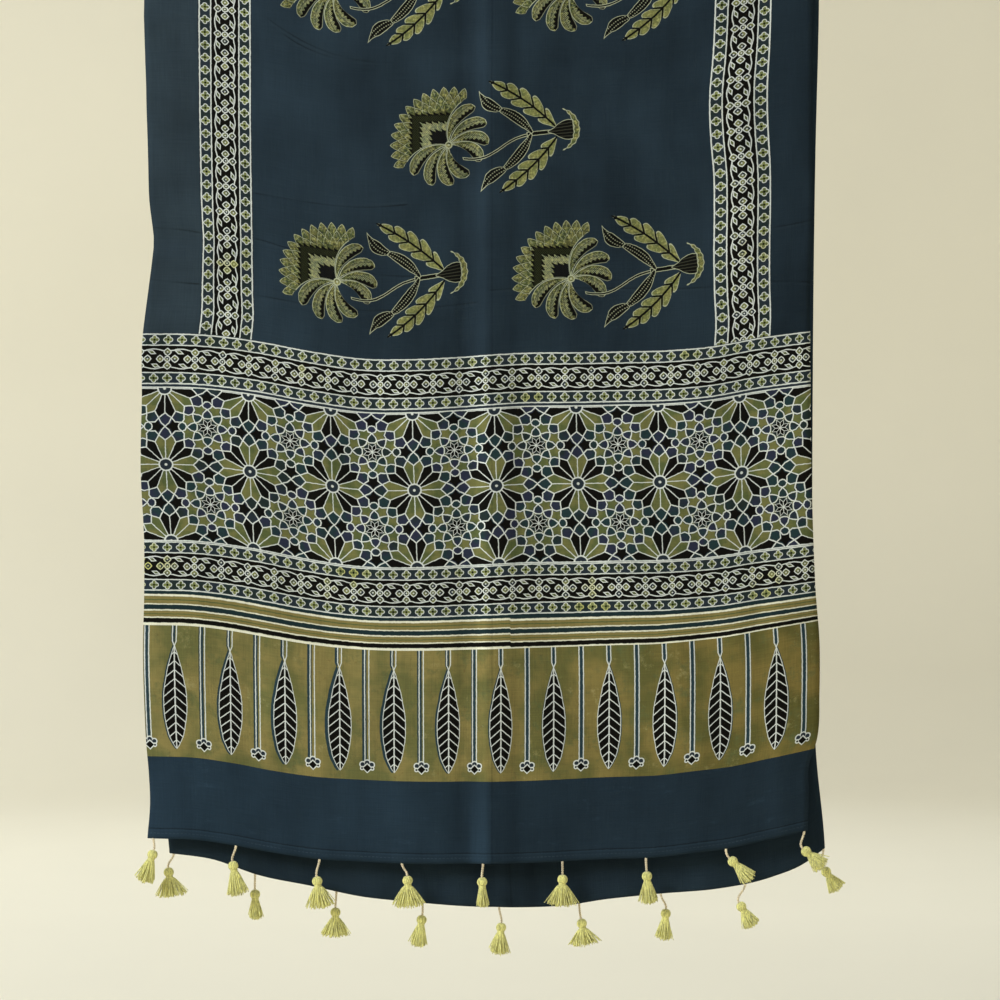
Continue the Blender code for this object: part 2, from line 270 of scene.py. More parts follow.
class Shade:
    """A material's node tree, and the one way in which nodes are added to it."""

    def __init__(self, name, roughness=0.8):
        self.material = bpy.data.materials.new(name)
        self.material.use_nodes = True
        self.tree = self.material.node_tree
        self.surface = self.tree.nodes["Principled BSDF"]
        self.surface.inputs["Roughness"].default_value = roughness

    def node(self, kind, settings=None, inputs=(), out=0):
        """Adds a node: its settings first, then the values or links of its sockets."""
        made = self.tree.nodes.new(kind)
        for key, value in (settings or {}).items():
            if key == "stops":
                self.set_stops(made.color_ramp, value)
            elif key == "points":
                self.set_points(made.mapping, value)
            else:
                setattr(made, key, value)
        pairs = inputs.items() if isinstance(inputs, dict) else enumerate(inputs)
        for key, value in pairs:
            if isinstance(value, Signal):
                self.tree.links.new(value.socket, made.inputs[key])
            else:
                made.inputs[key].default_value = value
        return Signal(self, made.outputs[out])

    def set_stops(self, ramp, stops):
        while len(ramp.elements) > 1:
            ramp.elements.remove(ramp.elements[-1])
        ramp.elements[0].position = stops[0][0]
        ramp.elements[0].color = stops[0][1]
        for place, colour in stops[1:]:
            ramp.elements.new(place).color = colour

    def set_points(self, mapping, points):
        curve = mapping.curves[0]
        curve.points[0].location = points[0]
        curve.points[1].location = points[-1]
        for point in points[1:-1]:
            curve.points.new(*point)
        mapping.update()

    def vector(self, operation, *inputs, out=0):
        return self.node("ShaderNodeVectorMath", {"operation": operation}, inputs, out)

    def join(self, x, y, z=0.0):
        return self.node("ShaderNodeCombineXYZ", inputs=(x, y, z))

    def parts(self, vector):
        """The X and Y of a vector, from one node."""
        made = self.node("ShaderNodeSeparateXYZ", inputs=(vector,))
        outputs = made.socket.node.outputs
        return Signal(self, outputs[0]), Signal(self, outputs[1])

    def mix(self, share, first, second, blend="MIX"):
        settings = {"data_type": "RGBA", "blend_type": blend}
        return self.node("ShaderNodeMix", settings, {0: share, 6: first, 7: second}, out=2)

    def curve(self, value, points):
        return self.node("ShaderNodeFloatCurve", {"points": points}, {"Value": value})

    def noise(self, vector, scale, detail=2.0, roughness=0.5, out=0):
        inputs = {"Vector": vector, "Scale": scale, "Detail": detail, "Roughness": roughness}
        return self.node("ShaderNodeTexNoise", inputs=inputs, out=out)

    def finish(self, colour, roughness=None, height=None, distance=0.0002, strength=0.5):
        """Joins what varies over the surface to the shader."""
        self.tree.links.new(colour.socket, self.surface.inputs["Base Color"])
        if roughness is not None:
            self.tree.links.new(roughness.socket, self.surface.inputs["Roughness"])
        if height is not None:
            inputs = {"Height": height, "Distance": distance, "Strength": strength}
            normal = self.node("ShaderNodeBump", inputs=inputs)
            self.tree.links.new(normal.socket, self.surface.inputs["Normal"])
        return self.material


def linear(red, green, blue):
    """A colour given as it looks on a screen, from 0 to 255, as the shader wants it."""
    levels = np.array([red, green, blue]) / 255
    levels = np.where(levels > 0.04045, ((levels + 0.055) / 1.055) ** 2.4, levels / 12.92)
    return tuple(float(level) for level in levels)


def tint(red, green, blue):
    """A colour given in the same way, with the fourth part that a colour socket wants."""
    return (*linear(red, green, blue), 1.0)


def span(x, y):
    """The distance from the place where both are nothing."""
    return (x * x + y * y).math("SQRT")


def past(share, length):
    """How far a place stands past the nearer end of a stretch: below nothing along it."""
    return abs(share - 0.5) * length - length / 2


# The user's sizes and colours


def colour_property(name, description, shade):
    return FloatVectorProperty(
        name=name, description=description, default=linear(*shade), size=3, min=0.0, max=1.0,
        subtype="COLOR",
    )


def length_property(name, description, default, low, high):
    return FloatProperty(
        name=name, description=description, default=default, min=low, max=high, unit="LENGTH"
    )


def count_property(name, description, default, low, high):
    return IntProperty(name=name, description=description, default=default, min=low, max=high)


class ClothSettings(PropertyGroup):
    """The printed cloth's thickness and dyes"""

    thickness: length_property(
        "Cloth thickness", "How thick the single cloth is", 0.0004, 0.0002, 0.0020
    )
    hem: length_property(
        "Hem thickness", "How thick the turned and stitched hem is", 0.0013, 0.0004, 0.0020
    )
    columns: count_property("Columns", "Squares across the cloth's grid", 112, 20, 140)
    indigo: colour_property("Indigo", "The field's deep indigo", (35, 48, 57))
    margin: colour_property("Margin indigo", "The paler indigo of the margins", (45, 57, 64))
    panel: colour_property("Panel indigo", "The brighter indigo of the end panel", (36, 52, 64))
    olive: colour_property("Olive", "The print's olive dye", (108, 107, 63))
    ochre: colour_property("Ochre", "The browner olive of the leaf band", (136, 124, 74))
    moss: colour_property("Moss", "Olive over indigo", (84, 92, 54))
    moss_dark: colour_property("Dark moss", "Olive over black", (34, 44, 42))
    white: colour_property("Undyed", "The undyed lines of the print", (207, 211, 203))
    pale: colour_property("Pale olive", "The fine lines of the flowers", (168, 172, 142))
    black: colour_property("Iron black", "The print's black-brown dye", (14, 13, 9))
    slate: colour_property("Slate", "The blue-black of the small cells", (38, 46, 53))
    teal: colour_property("Teal", "The greener blue of some cells", (34, 53, 55))


class TasselSettings(PropertyGroup):
    """The tassels' yarn"""

    strands: count_property("Strands", "Yarns in one tassel's skirt", 130, 20, 300)
    yarn_radius: length_property(
        "Yarn radius", "Half the thickness of one yarn of a skirt", 0.00042, 0.0002, 0.0010
    )
    tie_radius: length_property(
        "Tie radius", "Half the thickness of a twisted tie", 0.0010, 0.0004, 0.0012
    )
    sage: colour_property("Sage", "The skirts' yellow-green yarn", (231, 226, 142))
    cream: colour_property("Cream", "The ties' cream yarn", (236, 218, 182))


class StudioSettings(PropertyGroup):
    """The plain backdrop, the lights and the camera"""

    backdrop: colour_property("Backdrop", "The pale floor and backdrop", (222, 215, 192))
    key: FloatProperty(
        name="Key light",
        description="The large soft light at the upper left",
        default=98.0,
        min=0.0,
        unit="POWER",
    )
    distance: length_property("Camera distance", "From the camera to the cloth", 2.2, 0.5, 20.0)


# Where the cloth hangs


def along(table, at, column=1):
    """A smooth curve through one column of a table against its first column. Its slope at
    each row is that of the neighbours, and it stays level past the first and last rows."""
    x, y = np.array(table, float)[:, [0, column]].T * MM
    slope = np.gradient(y, x)
    at = np.clip(at, x[0], x[-1])
    i = np.clip(np.searchsorted(x, at) - 1, 0, len(x) - 2)
    step = x[i + 1] - x[i]
    s = (at - x[i]) / step
    return (
        y[i] * (1 + 2 * s) * (1 - s) ** 2
        + slope[i] * step * s * (1 - s) ** 2
        + y[i + 1] * s**2 * (3 - 2 * s)
        - slope[i + 1] * step * s**2 * (1 - s)
    )


def creases(table, x, drop):
    """The height of the ridges and troughs at a place: each falls off as a bell curve
    with the distance from its line."""
    height = np.zeros(np.broadcast(x, drop).shape)
    for x0, drop0, x1, drop1, width, rise in table:
        start = np.array([x0, drop0]) * MM
        run = np.array([x1, drop1]) * MM - start
        share = ((x - start[0]) * run[0] + (drop - start[1]) * run[1]) / (run @ run)
        share = np.clip(share, 0, 1)
        away = np.hypot(x - start[0] - share * run[0], drop - start[1] - share * run[1])
        height += rise * MM * np.exp(-((away / (width * MM)) ** 2))
    return height


def growing(distance, reach):
    """Nothing at no distance, and evenly more up to 1 at the reach and past it."""
    return np.clip(distance / reach, 0, 1)


def half_gap(drop):
    """How far a layer hangs from the middle: the layers close in below the fold."""
    share = growing(drop - FOLD_RADIUS, CLOSING_DROP)
    share = share * share * (3 - 2 * share)
    return FOLD_RADIUS + (LAYER_DEPTH - FOLD_RADIUS) * share


def waves(x, drop, phase):
    """Slow vertical waves, which grow from nothing at the fold to the hem."""
    broad = np.sin(2 * np.pi * (x / 0.230 + 0.30 * drop + phase))
    narrow = np.sin(2 * np.pi * (x / 0.104 - 0.45 * drop + 2 * phase))
    return growing(drop, FRONT_DROP) * (0.0018 * broad + 0.0008 * narrow)


def crumple(x, drop):
    """The slight unevenness of washed cloth: four crossed waves, a third of a millimetre
    high in all."""
    height = 0.00014 * np.sin(2 * np.pi * (x / 0.037 + drop / 0.181) + 0.4)
    height += 0.00010 * np.sin(2 * np.pi * (drop / 0.043 - x / 0.223) + 1.9)
    height += 0.00007 * np.sin(2 * np.pi * (x / 0.019 - drop / 0.067) + 2.7)
    height += 0.00006 * np.sin(2 * np.pi * (drop / 0.024 + x / 0.058) + 5.1)
    return height


def line_lift(across):
    """The sagging fold's lift, for a distance across from the cloth's middle."""
    return along(LINE, across)


def front_lift(across, drop):
    """The front layer's lift, which takes the upper band's own shape near that band and
    dips at the lower border."""
    near = np.exp(-(((drop - BAND_DROP) / BAND_REACH) ** 4))
    near = near * growing(FRONT_DROP - drop, BAND_FADE)
    level = line_lift(across) + along(LOW_LINE, across) * growing(drop - LOW_DROP, LOW_REACH)
    level = level + near * (along(BAND_LINE, across) - level)
    dip = growing(drop - DIP_DROP, DIP_REACH) * growing(DIP_END - drop, DIP_FADE)
    return level - dip * along(LOW_DIP, across)


def front_place(across, drop):
    """The front layer at a distance across and a drop below the fold: the printed lines
    drift a little from straight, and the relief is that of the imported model."""
    drift = [along(FRONT_DRIFT, drop, column) for column in range(1, 6)]
    shift = np.zeros(np.broadcast(across, drop).shape)
    for amount, near in zip(drift, np.eye(len(DRIFT_PLACES))):
        shift = shift + np.interp(across, DRIFT_PLACES, near) * amount
    x = across + shift
    left = drift[0] - WIDTH / 2
    right = drift[-1] + WIDTH / 2
    shown = growing(drop - FOLD_RADIUS, 2 * FOLD_RADIUS)
    relief = creases(FRONT_CREASES, x, drop) + waves(x, drop, 0.1) + crumple(x, drop)
    relief += along(PRESSED, x) * growing(drop, PRESSED_REACH)
    from_edges = np.exp(-(x - left) / CURL_REACH) + np.exp(-(right - x) / CURL_REACH)
    relief = relief - CURL * growing(drop, FRONT_DROP) * from_edges
    return x, -half_gap(drop) - shown * relief, front_lift(across, drop) - drop


def back_place(across, drop):
    """The back layer, given as the front layer is."""
    left = along(BACK_EDGES, drop, 1)
    right = along(BACK_EDGES, drop, 2)
    x = left + (right - left) * (across / WIDTH + 0.5)
    shown = growing(drop - FOLD_RADIUS, 2 * FOLD_RADIUS)
    relief = creases(BACK_CREASES, x, drop) + waves(x, drop, 0.6) + crumple(x, drop + 0.3)
    return x, half_gap(drop) + shown * relief, line_lift(across) - drop


def fold_place(across, turn):
    """The fold: half a turn of FOLD_RADIUS from the front layer to the back one."""
    x = across + np.interp(across, DRIFT_PLACES, np.array(FRONT_DRIFT[0][1:]) * MM)
    y = -FOLD_RADIUS * np.cos(turn)
    return x, y, line_lift(across) - FOLD_RADIUS + FOLD_RADIUS * np.sin(turn)


def back_drop(across):
    """The back layer's drop from the fold to its hem."""
    return BACK_DROP - along(BACK_HEM, across) + line_lift(across)


# Meshes


def grid_faces(rows, columns):
    """The four corners of every square of a grid of points."""
    first = (np.arange(rows - 1)[:, None] * columns + np.arange(columns - 1)).ravel()
    return np.stack([first, first + 1, first + columns + 1, first + columns], axis=1)


def new_piece(name, points, faces, materials):
    """An object from an array of points and a list of faces."""
    mesh = bpy.data.meshes.new(name)
    mesh.from_pydata(points.reshape(-1, 3).tolist(), [], faces)
    mesh.shade_smooth()
    for material in materials:
        mesh.materials.append(material)
    made = bpy.data.objects.new(name, mesh)
    bpy.context.collection.objects.link(made)
    return made


def tubes(centres, radii, sides):
    """Closed tubes along many paths at once. centres holds paths, points along each and
    X, Y, Z, and radii paths and points. A ring of each tube lies square to its path, on
    two directions made from the path's own and a fixed one, and a cone closes each end."""
    ahead = np.gradient(centres, axis=1)
    ahead /= np.linalg.norm(ahead, axis=-1, keepdims=True)
    fixed = np.array([0.13, 0.97, 0.21])
    side = np.cross(ahead, fixed / np.linalg.norm(fixed))
    side /= np.linalg.norm(side, axis=-1, keepdims=True)
    other = np.cross(ahead, side)
    angle = 2 * np.pi * np.arange(sides) / sides
    ring = side[:, :, None] * np.cos(angle)[:, None] + other[:, :, None] * np.sin(angle)[:, None]
    rings = centres[:, :, None] + ring * radii[:, :, None, None]
    paths, steps = centres.shape[:2]
    points = rings.reshape(paths, steps * sides, 3)
    ends = centres[:, [0, -1]] + ahead[:, [0, -1]] * radii[:, [0, -1], None] * [[-0.5], [0.5]]
    points = np.concatenate([points, ends], axis=1)
    block = steps * sides + 2
    row = np.arange(steps - 1)[:, None] * sides
    here = np.arange(sides)
    after = (here + 1) % sides
    quads = np.stack([row + here, row + after, row + sides + after, row + sides + here], axis=-1)
    tail = (steps - 1) * sides
    near_cap = np.stack([after, here, np.full(sides, block - 2)], axis=-1)
    far_cap = np.stack([tail + here, tail + after, np.full(sides, block - 1)], axis=-1)
    caps = np.concatenate([near_cap, far_cap])
    shift = (np.arange(paths) * block)[:, None, None]
    quads = quads.reshape(-1, 4) + shift
    return points.reshape(-1, 3), quads.reshape(-1, 4), (caps + shift).reshape(-1, 3)


def yarn_piece(name, lots, yarn):
    """One object from several lots of points, four-sided and three-sided faces. It rides on
    the root and stands for the node of its name."""
    points, faces = [], []
    count = 0
    for lot_points, quads, triangles in lots:
        points.append(lot_points)
        faces += (quads + count).tolist() + (triangles + count).tolist()
        count += len(lot_points)
    made = new_piece(f"{name}_yarn", np.concatenate(points), faces, [yarn])
    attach(made, "root")
    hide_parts(name)
    return made


# The cloth's dyes and print


DYES = (
    "indigo", "margin", "panel", "olive", "ochre", "moss", "moss_dark", "white", "pale",
    "black", "slate", "teal",
)


class Print:
    """The places and dyes that every region's pattern starts from."""

    def __init__(self, name, settings, wobble=0.45):
        self.shade = Shade(name, roughness=0.82)
        shade = self.shade
        self.place = shade.node("ShaderNodeUVMap", {"uv_map": "print"})
        rough = shade.noise(self.place, 320.0, detail=3.0, out=1)
        moved = shade.vector("MULTIPLY_ADD", rough, (2 * wobble,) * 3, (-wobble,) * 3)
        self.flat = shade.vector("MULTIPLY_ADD", self.place, (1000.0,) * 3, moved)
        self.u, self.v = shade.parts(self.flat)
        self.dye = {}
        for key in DYES:
            self.dye[key] = (*getattr(settings, key), 1.0)

    def mottled(self, first, second, scale, low=0.42, high=0.58, detail=3.0):
        """Two dyes that run into each other in patches."""
        patch = self.shade.noise(self.place, scale, detail=detail)
        share = patch.math("MULTIPLY_ADD", 1 / (high - low), -low / (high - low), clamp=True)
        return self.shade.mix(share, first, second)

    def washed(self, dye, low, high=1.0, scale=9.0):
        """A washed dye, in faint darker and paler patches."""
        first, second = lighter(dye, low), lighter(dye, high)
        return self.mottled(first, second, scale, 0.35, 0.62, detail=4.0)

    def finish(self, colour):
        """The finish of worn cotton over a printed colour: slow and fine changes of tone,
        upright streaks of painted shade for soft folds, a paler band down the pressed middle
        that is partly worn dye and partly painted highlight, painted shade beside it and a
        painted shadow line along its ridge, threads that run both ways, a dull surface and a
        fine weave."""
        shade = self.shade
        threads = []
        for stretch in ((38.0, 900.0, 1.0), (900.0, 38.0, 1.0)):
            run = shade.vector("MULTIPLY", self.place, stretch)
            threads.append(shade.noise(run, 1.0, detail=2.0))
        thread = threads[0] + threads[1]
        slow = shade.noise(self.place, 14.0, detail=2.0)
        # painted shade: soft upright streaks, a noise stretched along the cloth, for the shade of
        # soft folds
        painted_fold_streaks = shade.noise(shade.vector("MULTIPLY", self.place, (34.0, 4.5, 1.0)), 1.0)
        # the pressed middle: two pale strips, partly worn dye and partly painted highlight,
        # painted shade at both sides, and a painted shadow line along the ridge
        pressed = (abs(self.u - 0.5) - 6.5).inside(4.0) * 0.6
        pressed = pressed + (abs(self.u - 2.0) - 4.0).inside(2.5)
        painted_crease_shade = (abs(self.u + 17.0) - 3.0).inside(5.0) * 0.10
        painted_crease_shade = painted_crease_shade + (abs(self.u - 28.0) - 5.0).inside(7.0) * 0.17
        tone = thread * 0.34 + slow * 0.44 + painted_fold_streaks * 0.60 + 0.14
        tone = tone + pressed * 0.12 - painted_crease_shade - (self.u - 10.8).line(1.5, 1.0) * 0.20
        grey = shade.join(tone, tone, tone)
        colour = shade.mix(1.0, colour, grey, "MULTIPLY")
        roughness = thread * 0.12 + 0.70
        shade.surface.inputs["Sheen Weight"].default_value = 0.006
        shade.surface.inputs["Sheen Roughness"].default_value = 0.45
        shade.surface.inputs["Specular IOR Level"].default_value = 0.06
        return shade.finish(colour, roughness, thread, 0.00035)


def lighter(colour, factor):
    """A dye made lighter, or darker by a factor below 1."""
    return (*(min(1.0, part * factor) for part in colour[:3]), 1.0)


def diamond(dx, dy, slant=0.72):
    """A distance whose rings are squares on their corners, with the corners cut a little."""
    return (dx + dy) * slant + dx.most(dy) * (1 - slant)


def border_pattern(ink, across, ahead, scale=1.0):
    """The border: two rows of small flowers between lines, and between the rows a vine
    that bulges round clusters of five flowers. across runs from edge to edge, nothing at
    the middle, and ahead along the border."""
    shade, dye = ink.shade, ink.dye
    c = across * (1 / scale)
    t = ahead * (1 / scale)
    h = abs(c)
    lines = (h - 20.5).line(1.02).most((h - 11.4).line(0.88))
    # the chain of small flowers
    pitch = 11.05
    x = t.turned(pitch)
    y = abs(h - 15.95)
    long_way, short_way = x.most(y), x.least(y)
    petal = long_way - 2.0
    flower = span(petal, short_way).least(long_way) - 1.9
    white = ink.mottled(dye["white"], tint(190, 188, 116), 15.0, 0.58, 0.68)
    green = ink.mottled(dye["moss"], tint(124, 130, 78), 130.0)
    chain = shade.mix((flower + 0.62).inside(), white, green)
    chain = shade.mix((long_way + short_way - 1.1).inside(), chain, dye["black"])
    gap = ink.mottled(dye["slate"], dye["moss_dark"], 70.0)
    chain = shade.mix(flower.inside(), gap, chain)
    # the vine and its clusters
    long = pitch * 2
    s = t.repeat(long)
    a = abs(s)
    wave = (t * (2 * math.pi / long)).math("COSINE")
    vine = (h - (7.35 - wave * 0.85)).line(0.85)
    outer = diamond(a, abs(h - 5.7)).least(diamond(abs(a - 5.95), h)) - 3.45
    hub = diamond(a, h, 0.42) - 2.75
    small = outer.least(hub)
    seeds = ink.mottled(tint(122, 124, 74), dye["slate"], 150.0)
    flower_ink = shade.mix((small + 0.92).inside(0.3), white, seeds)
    dots = (outer + 2.75).least(hub + 2.1)
    flower_ink = shade.mix(dots.inside(0.3), flower_ink, white)
    side = (c * 8.0).least(1.0).most(-1.0)
    lx = (t + long / 2).repeat(long) * side + 1.6
    ly = h - 5.5
    lean = lx * 0.94 - ly * 0.34
    rise = lx * 0.34 + ly * 0.94
    leaf = abs(lean) * 0.42 + abs(rise) - 1.75
    leaf_ink = (leaf + 0.72).inside(0.3)
    middle = shade.mix(leaf.inside(0.3), dye["black"], dye["white"])
    middle = shade.mix(leaf_ink, middle, dye["moss"])
    middle = shade.mix(vine, middle, dye["white"])
    middle = shade.mix(small.inside(), middle, flower_ink)
    colour = shade.mix((h - 11.4).below(0.0), chain, middle)
    ground = shade.mix((h - 21.1).above(0.0), colour, dye["slate"])
    return shade.mix(lines, ground, dye["white"])


def border_material(name, settings, middle, scale, start, step, turned):
    """The border along v (turned) or u. scale is that of its width, and step that of its
    length from start."""
    ink = Print(name, settings)
    across, ahead = (ink.u, ink.v) if turned else (ink.v, ink.u)
    ahead = (ahead - start) * (scale / step)
    return ink.finish(border_pattern(ink, across - middle, ahead, scale))


# The star lattice in a rosette's own units, where the next rosettes are 1 away. Its lines
# lie in the triangle between a rosette's middle, a side and a corner of its square.
NOTCH, TIP = 0.322, 0.396
STAR_LINES = (
    ((0.388, 0.077), (0.452, 0.046), (0.500, 0.000)),
    ((0.388, 0.077), (0.440, 0.120), (0.441, 0.200)),
    ((0.329, 0.220), (0.405, 0.226), (0.441, 0.200)),
    ((0.441, 0.200), (0.470, 0.163), (0.500, 0.156)),
    ((0.441, 0.200), (0.457, 0.235), (0.500, 0.256)),
    ((0.500, 0.256), (0.456, 0.304), (0.441, 0.353)),
    ((0.441, 0.353), (0.462, 0.376), (0.500, 0.380)),
    ((0.441, 0.353), (0.390, 0.334), (0.325, 0.325)),
    ((0.441, 0.353), (0.432, 0.392), (0.414, 0.414)),
    ((0.325, 0.325), (0.347, 0.277), (0.329, 0.220)),
)
# The dark cells between those lines, as middles and radii
STAR_CELLS = (
    (0.412, 0.0, 0.082),
    (0.588, 0.0, 0.082),
    (0.368, 0.152, 0.082),
    (0.280, 0.280, 0.078),
    (0.500, 0.207, 0.053),
    (0.500, 0.320, 0.060),
    (0.382, 0.382, 0.056),
)


def nearest_line(shade, point, rows):
    """The distance to the nearest of several bent lines: for each straight part, the
    place along it that is nearest, kept between its ends, and the distance from there."""
    nearest = None
    for row in rows:
        for (ax, ay), (bx, by) in zip(row, row[1:]):
            rx, ry = bx - ax, by - ay
            size = rx * rx + ry * ry
            out = shade.vector("SUBTRACT", point, (ax, ay, 0.0))
            share = shade.vector("DOT_PRODUCT", out, (rx / size, ry / size, 0.0), out=1)
            share = share.math("ADD", 0.0, clamp=True)
            rest = shade.vector("MULTIPLY_ADD", shade.join(share, share), (-rx, -ry, 0.0), out)
            away = shade.vector("LENGTH", rest, out=1)
            nearest = away if nearest is None else nearest.least(away)
    return nearest


def star_material(settings):
    """The lattice of sixteen-petalled rosettes, folded into one triangle."""
    ink = Print("star_print", settings, wobble=0.5)
    shade, dye = ink.shade, ink.dye
    wide, high = 68.47, 63.6
    middle = 311.3
    row = (ink.v - middle) * (1 / high)
    column = (ink.u - 14.7) * (1 / wide) + row * 0.03
    x0 = column.turned(1.0)
    y0 = row.turned(1.0)
    x = x0.most(y0)
    y = x0.least(y0)
    centre = abs(row).below(0.5)
    r = span(x, y)
    angle = y.math("ARCTAN2", x)
    eighth = math.pi / 8
    off = angle.turned(eighth)
    local = eighth / 2 - off
    # the end of a petal is a line from its tip to the notch beside it
    run = (TIP - NOTCH * math.cos(eighth / 2), NOTCH * math.sin(eighth / 2))
    size = math.hypot(*run)
    normal = (run[1] / size, run[0] / size)
    end = r * local.math("COSINE") * normal[0] + r * local.math("SINE") * normal[1]
    end = end - TIP * normal[0]
    radial = r * off.math("SINE")
    soft = 0.005
    thin, thick = 0.0053, 0.0068
    point = shade.join(x, y)
    cells = None
    for sx, sy, radius in STAR_CELLS:
        away = shade.vector("DISTANCE", point, (sx, sy, 0.0), out=1) - radius
        cells = away if cells is None else cells.least(away)
    star_ink = shade.mix(y.above(0.19), dye["black"], ink.mottled(dye["moss"], dye["olive"], 60.0))
    violet = tint(42, 46, 63)
    blue = ink.mottled(violet, dye["teal"], 45.0, 0.45, 0.55)
    dark = shade.noise(ink.place, 33.0)
    blue = shade.mix(dark.over(0.52, 9.0), blue, dye["moss_dark"])
    outside = shade.mix(cells.inside(0.004), star_ink, blue)
    # the small black flower in the corner of the square
    a = 0.5 - x
    b = 0.5 - y
    t = a * 0.383 + b * 0.924
    w = abs(a * 0.924 - b * 0.383)
    corner = span(a, b)
    blade = w + abs(t - 0.060) * 0.45 - 0.0215
    small = shade.mix(blade.inside(0.004), dye["white"], dye["black"])
    outside = shade.mix((corner - 0.115).inside(0.012), outside, dye["moss_dark"])
    outside = shade.mix((blade - 0.0062).inside(0.004), outside, small)
    lines = (nearest_line(shade, point, STAR_LINES) - thick).inside(soft)
    outside = shade.mix(lines, outside, dye["white"])
    # the petals, whose two dyes change places from row to row
    on_axis = angle.below(eighth)
    swap = abs(on_axis - centre)
    olive = ink.mottled(dye["olive"], dye["moss"], 75.0)
    petals = shade.mix(swap, olive, dye["black"])
    petals = shade.mix((radial - thin).inside(soft), petals, dye["white"])
    colour = shade.mix(end.inside(soft), outside, petals)
    colour = shade.mix((abs(end) - thick).inside(soft), colour, dye["white"])
    hub = shade.mix((r - 0.070).inside(soft), dye["white"], dye["slate"])
    hub = shade.mix((r - 0.017).inside(0.008), hub, dye["white"])
    colour = shade.mix((r - 0.088).inside(soft), colour, hub)
    rim_lines = (ink.v - 376.0).line(1.1).most((ink.v - 247.9).line(1.0))
    colour = shade.mix(rim_lines, colour, dye["white"])
    return ink.finish(colour)


# Where each stripe starts below the lower border's last line, in millimetres
STRIPES = (
    (0.0, "teal"), (3.5, "cream"), (5.2, "ochre"), (7.6, "moss"), (8.5, "ochre"),
    (11.2, "cream"), (12.1, "teal"), (16.0, "cream"), (17.1, "ochre"), (19.4, "moss"),
    (20.1, "ochre"), (22.1, "cream"), (23.1, "black"), (26.9, "cream"),
)


def stripe_material(settings):
    """Stripes across the cloth: one ramp over the distance below the border."""
    ink = Print("stripe_print", settings, wobble=0.55)
    shade, dye = ink.shade, ink.dye
    span = 28.1
    soft = 0.25
    dye = dict(dye, cream=tint(222, 220, 196), ochre=lighter(dye["ochre"], 0.84))
    dye["teal"] = lighter(dye["teal"], 0.72)
    sag = shade.noise(shade.vector("MULTIPLY", ink.place, (9.0, 0.0, 0.0)), 1.0)
    seam = (ink.u - 26.0).inside(1.0)
    down = (STRIPES_END / MM) - ink.v + sag * 0.8 - 0.4 + seam * 0.9
    stops = [(0.0, dye[STRIPES[0][1]])]
    for (start, name), (_, before) in zip(STRIPES[1:], STRIPES):
        stops.append(((start - soft) / span, dye[before]))
        stops.append(((start + soft) / span, dye[name]))
    colour = shade.node("ShaderNodeValToRGB", {"stops": stops}, (down * (1 / span),))
    return ink.finish(colour)


# The outlines of leaves: half their width over the share of their length
LONG_LEAF = ((0.0, 0.0), (0.12, 0.34), (0.3, 0.73), (0.56, 1.0), (0.8, 0.78), (0.93, 0.4), (1.0, 0.0))
BLADE = ((0.0, 0.0), (0.10, 0.42), (0.30, 0.88), (0.50, 1.0), (0.72, 0.82), (0.90, 0.36), (1.0, 0.0))
SLIM = ((0.0, 0.25), (0.15, 0.55), (0.5, 1.0), (0.8, 0.8), (1.0, 0.10))
BUD = ((0.0, 0.3), (0.2, 0.85), (0.45, 1.0), (0.7, 0.55), (1.0, 0.0))
# and of the flower's plumes and the cup at its foot
PLUME = ((0.0, 0.0), (0.15, 0.20), (0.4, 0.62), (0.65, 0.95), (0.84, 1.0), (0.94, 0.72), (1.0, 0.0))
CUP = ((0.0, 0.10), (0.2, 0.30), (0.5, 0.80), (0.75, 1.0), (0.92, 0.96), (1.0, 0.70))


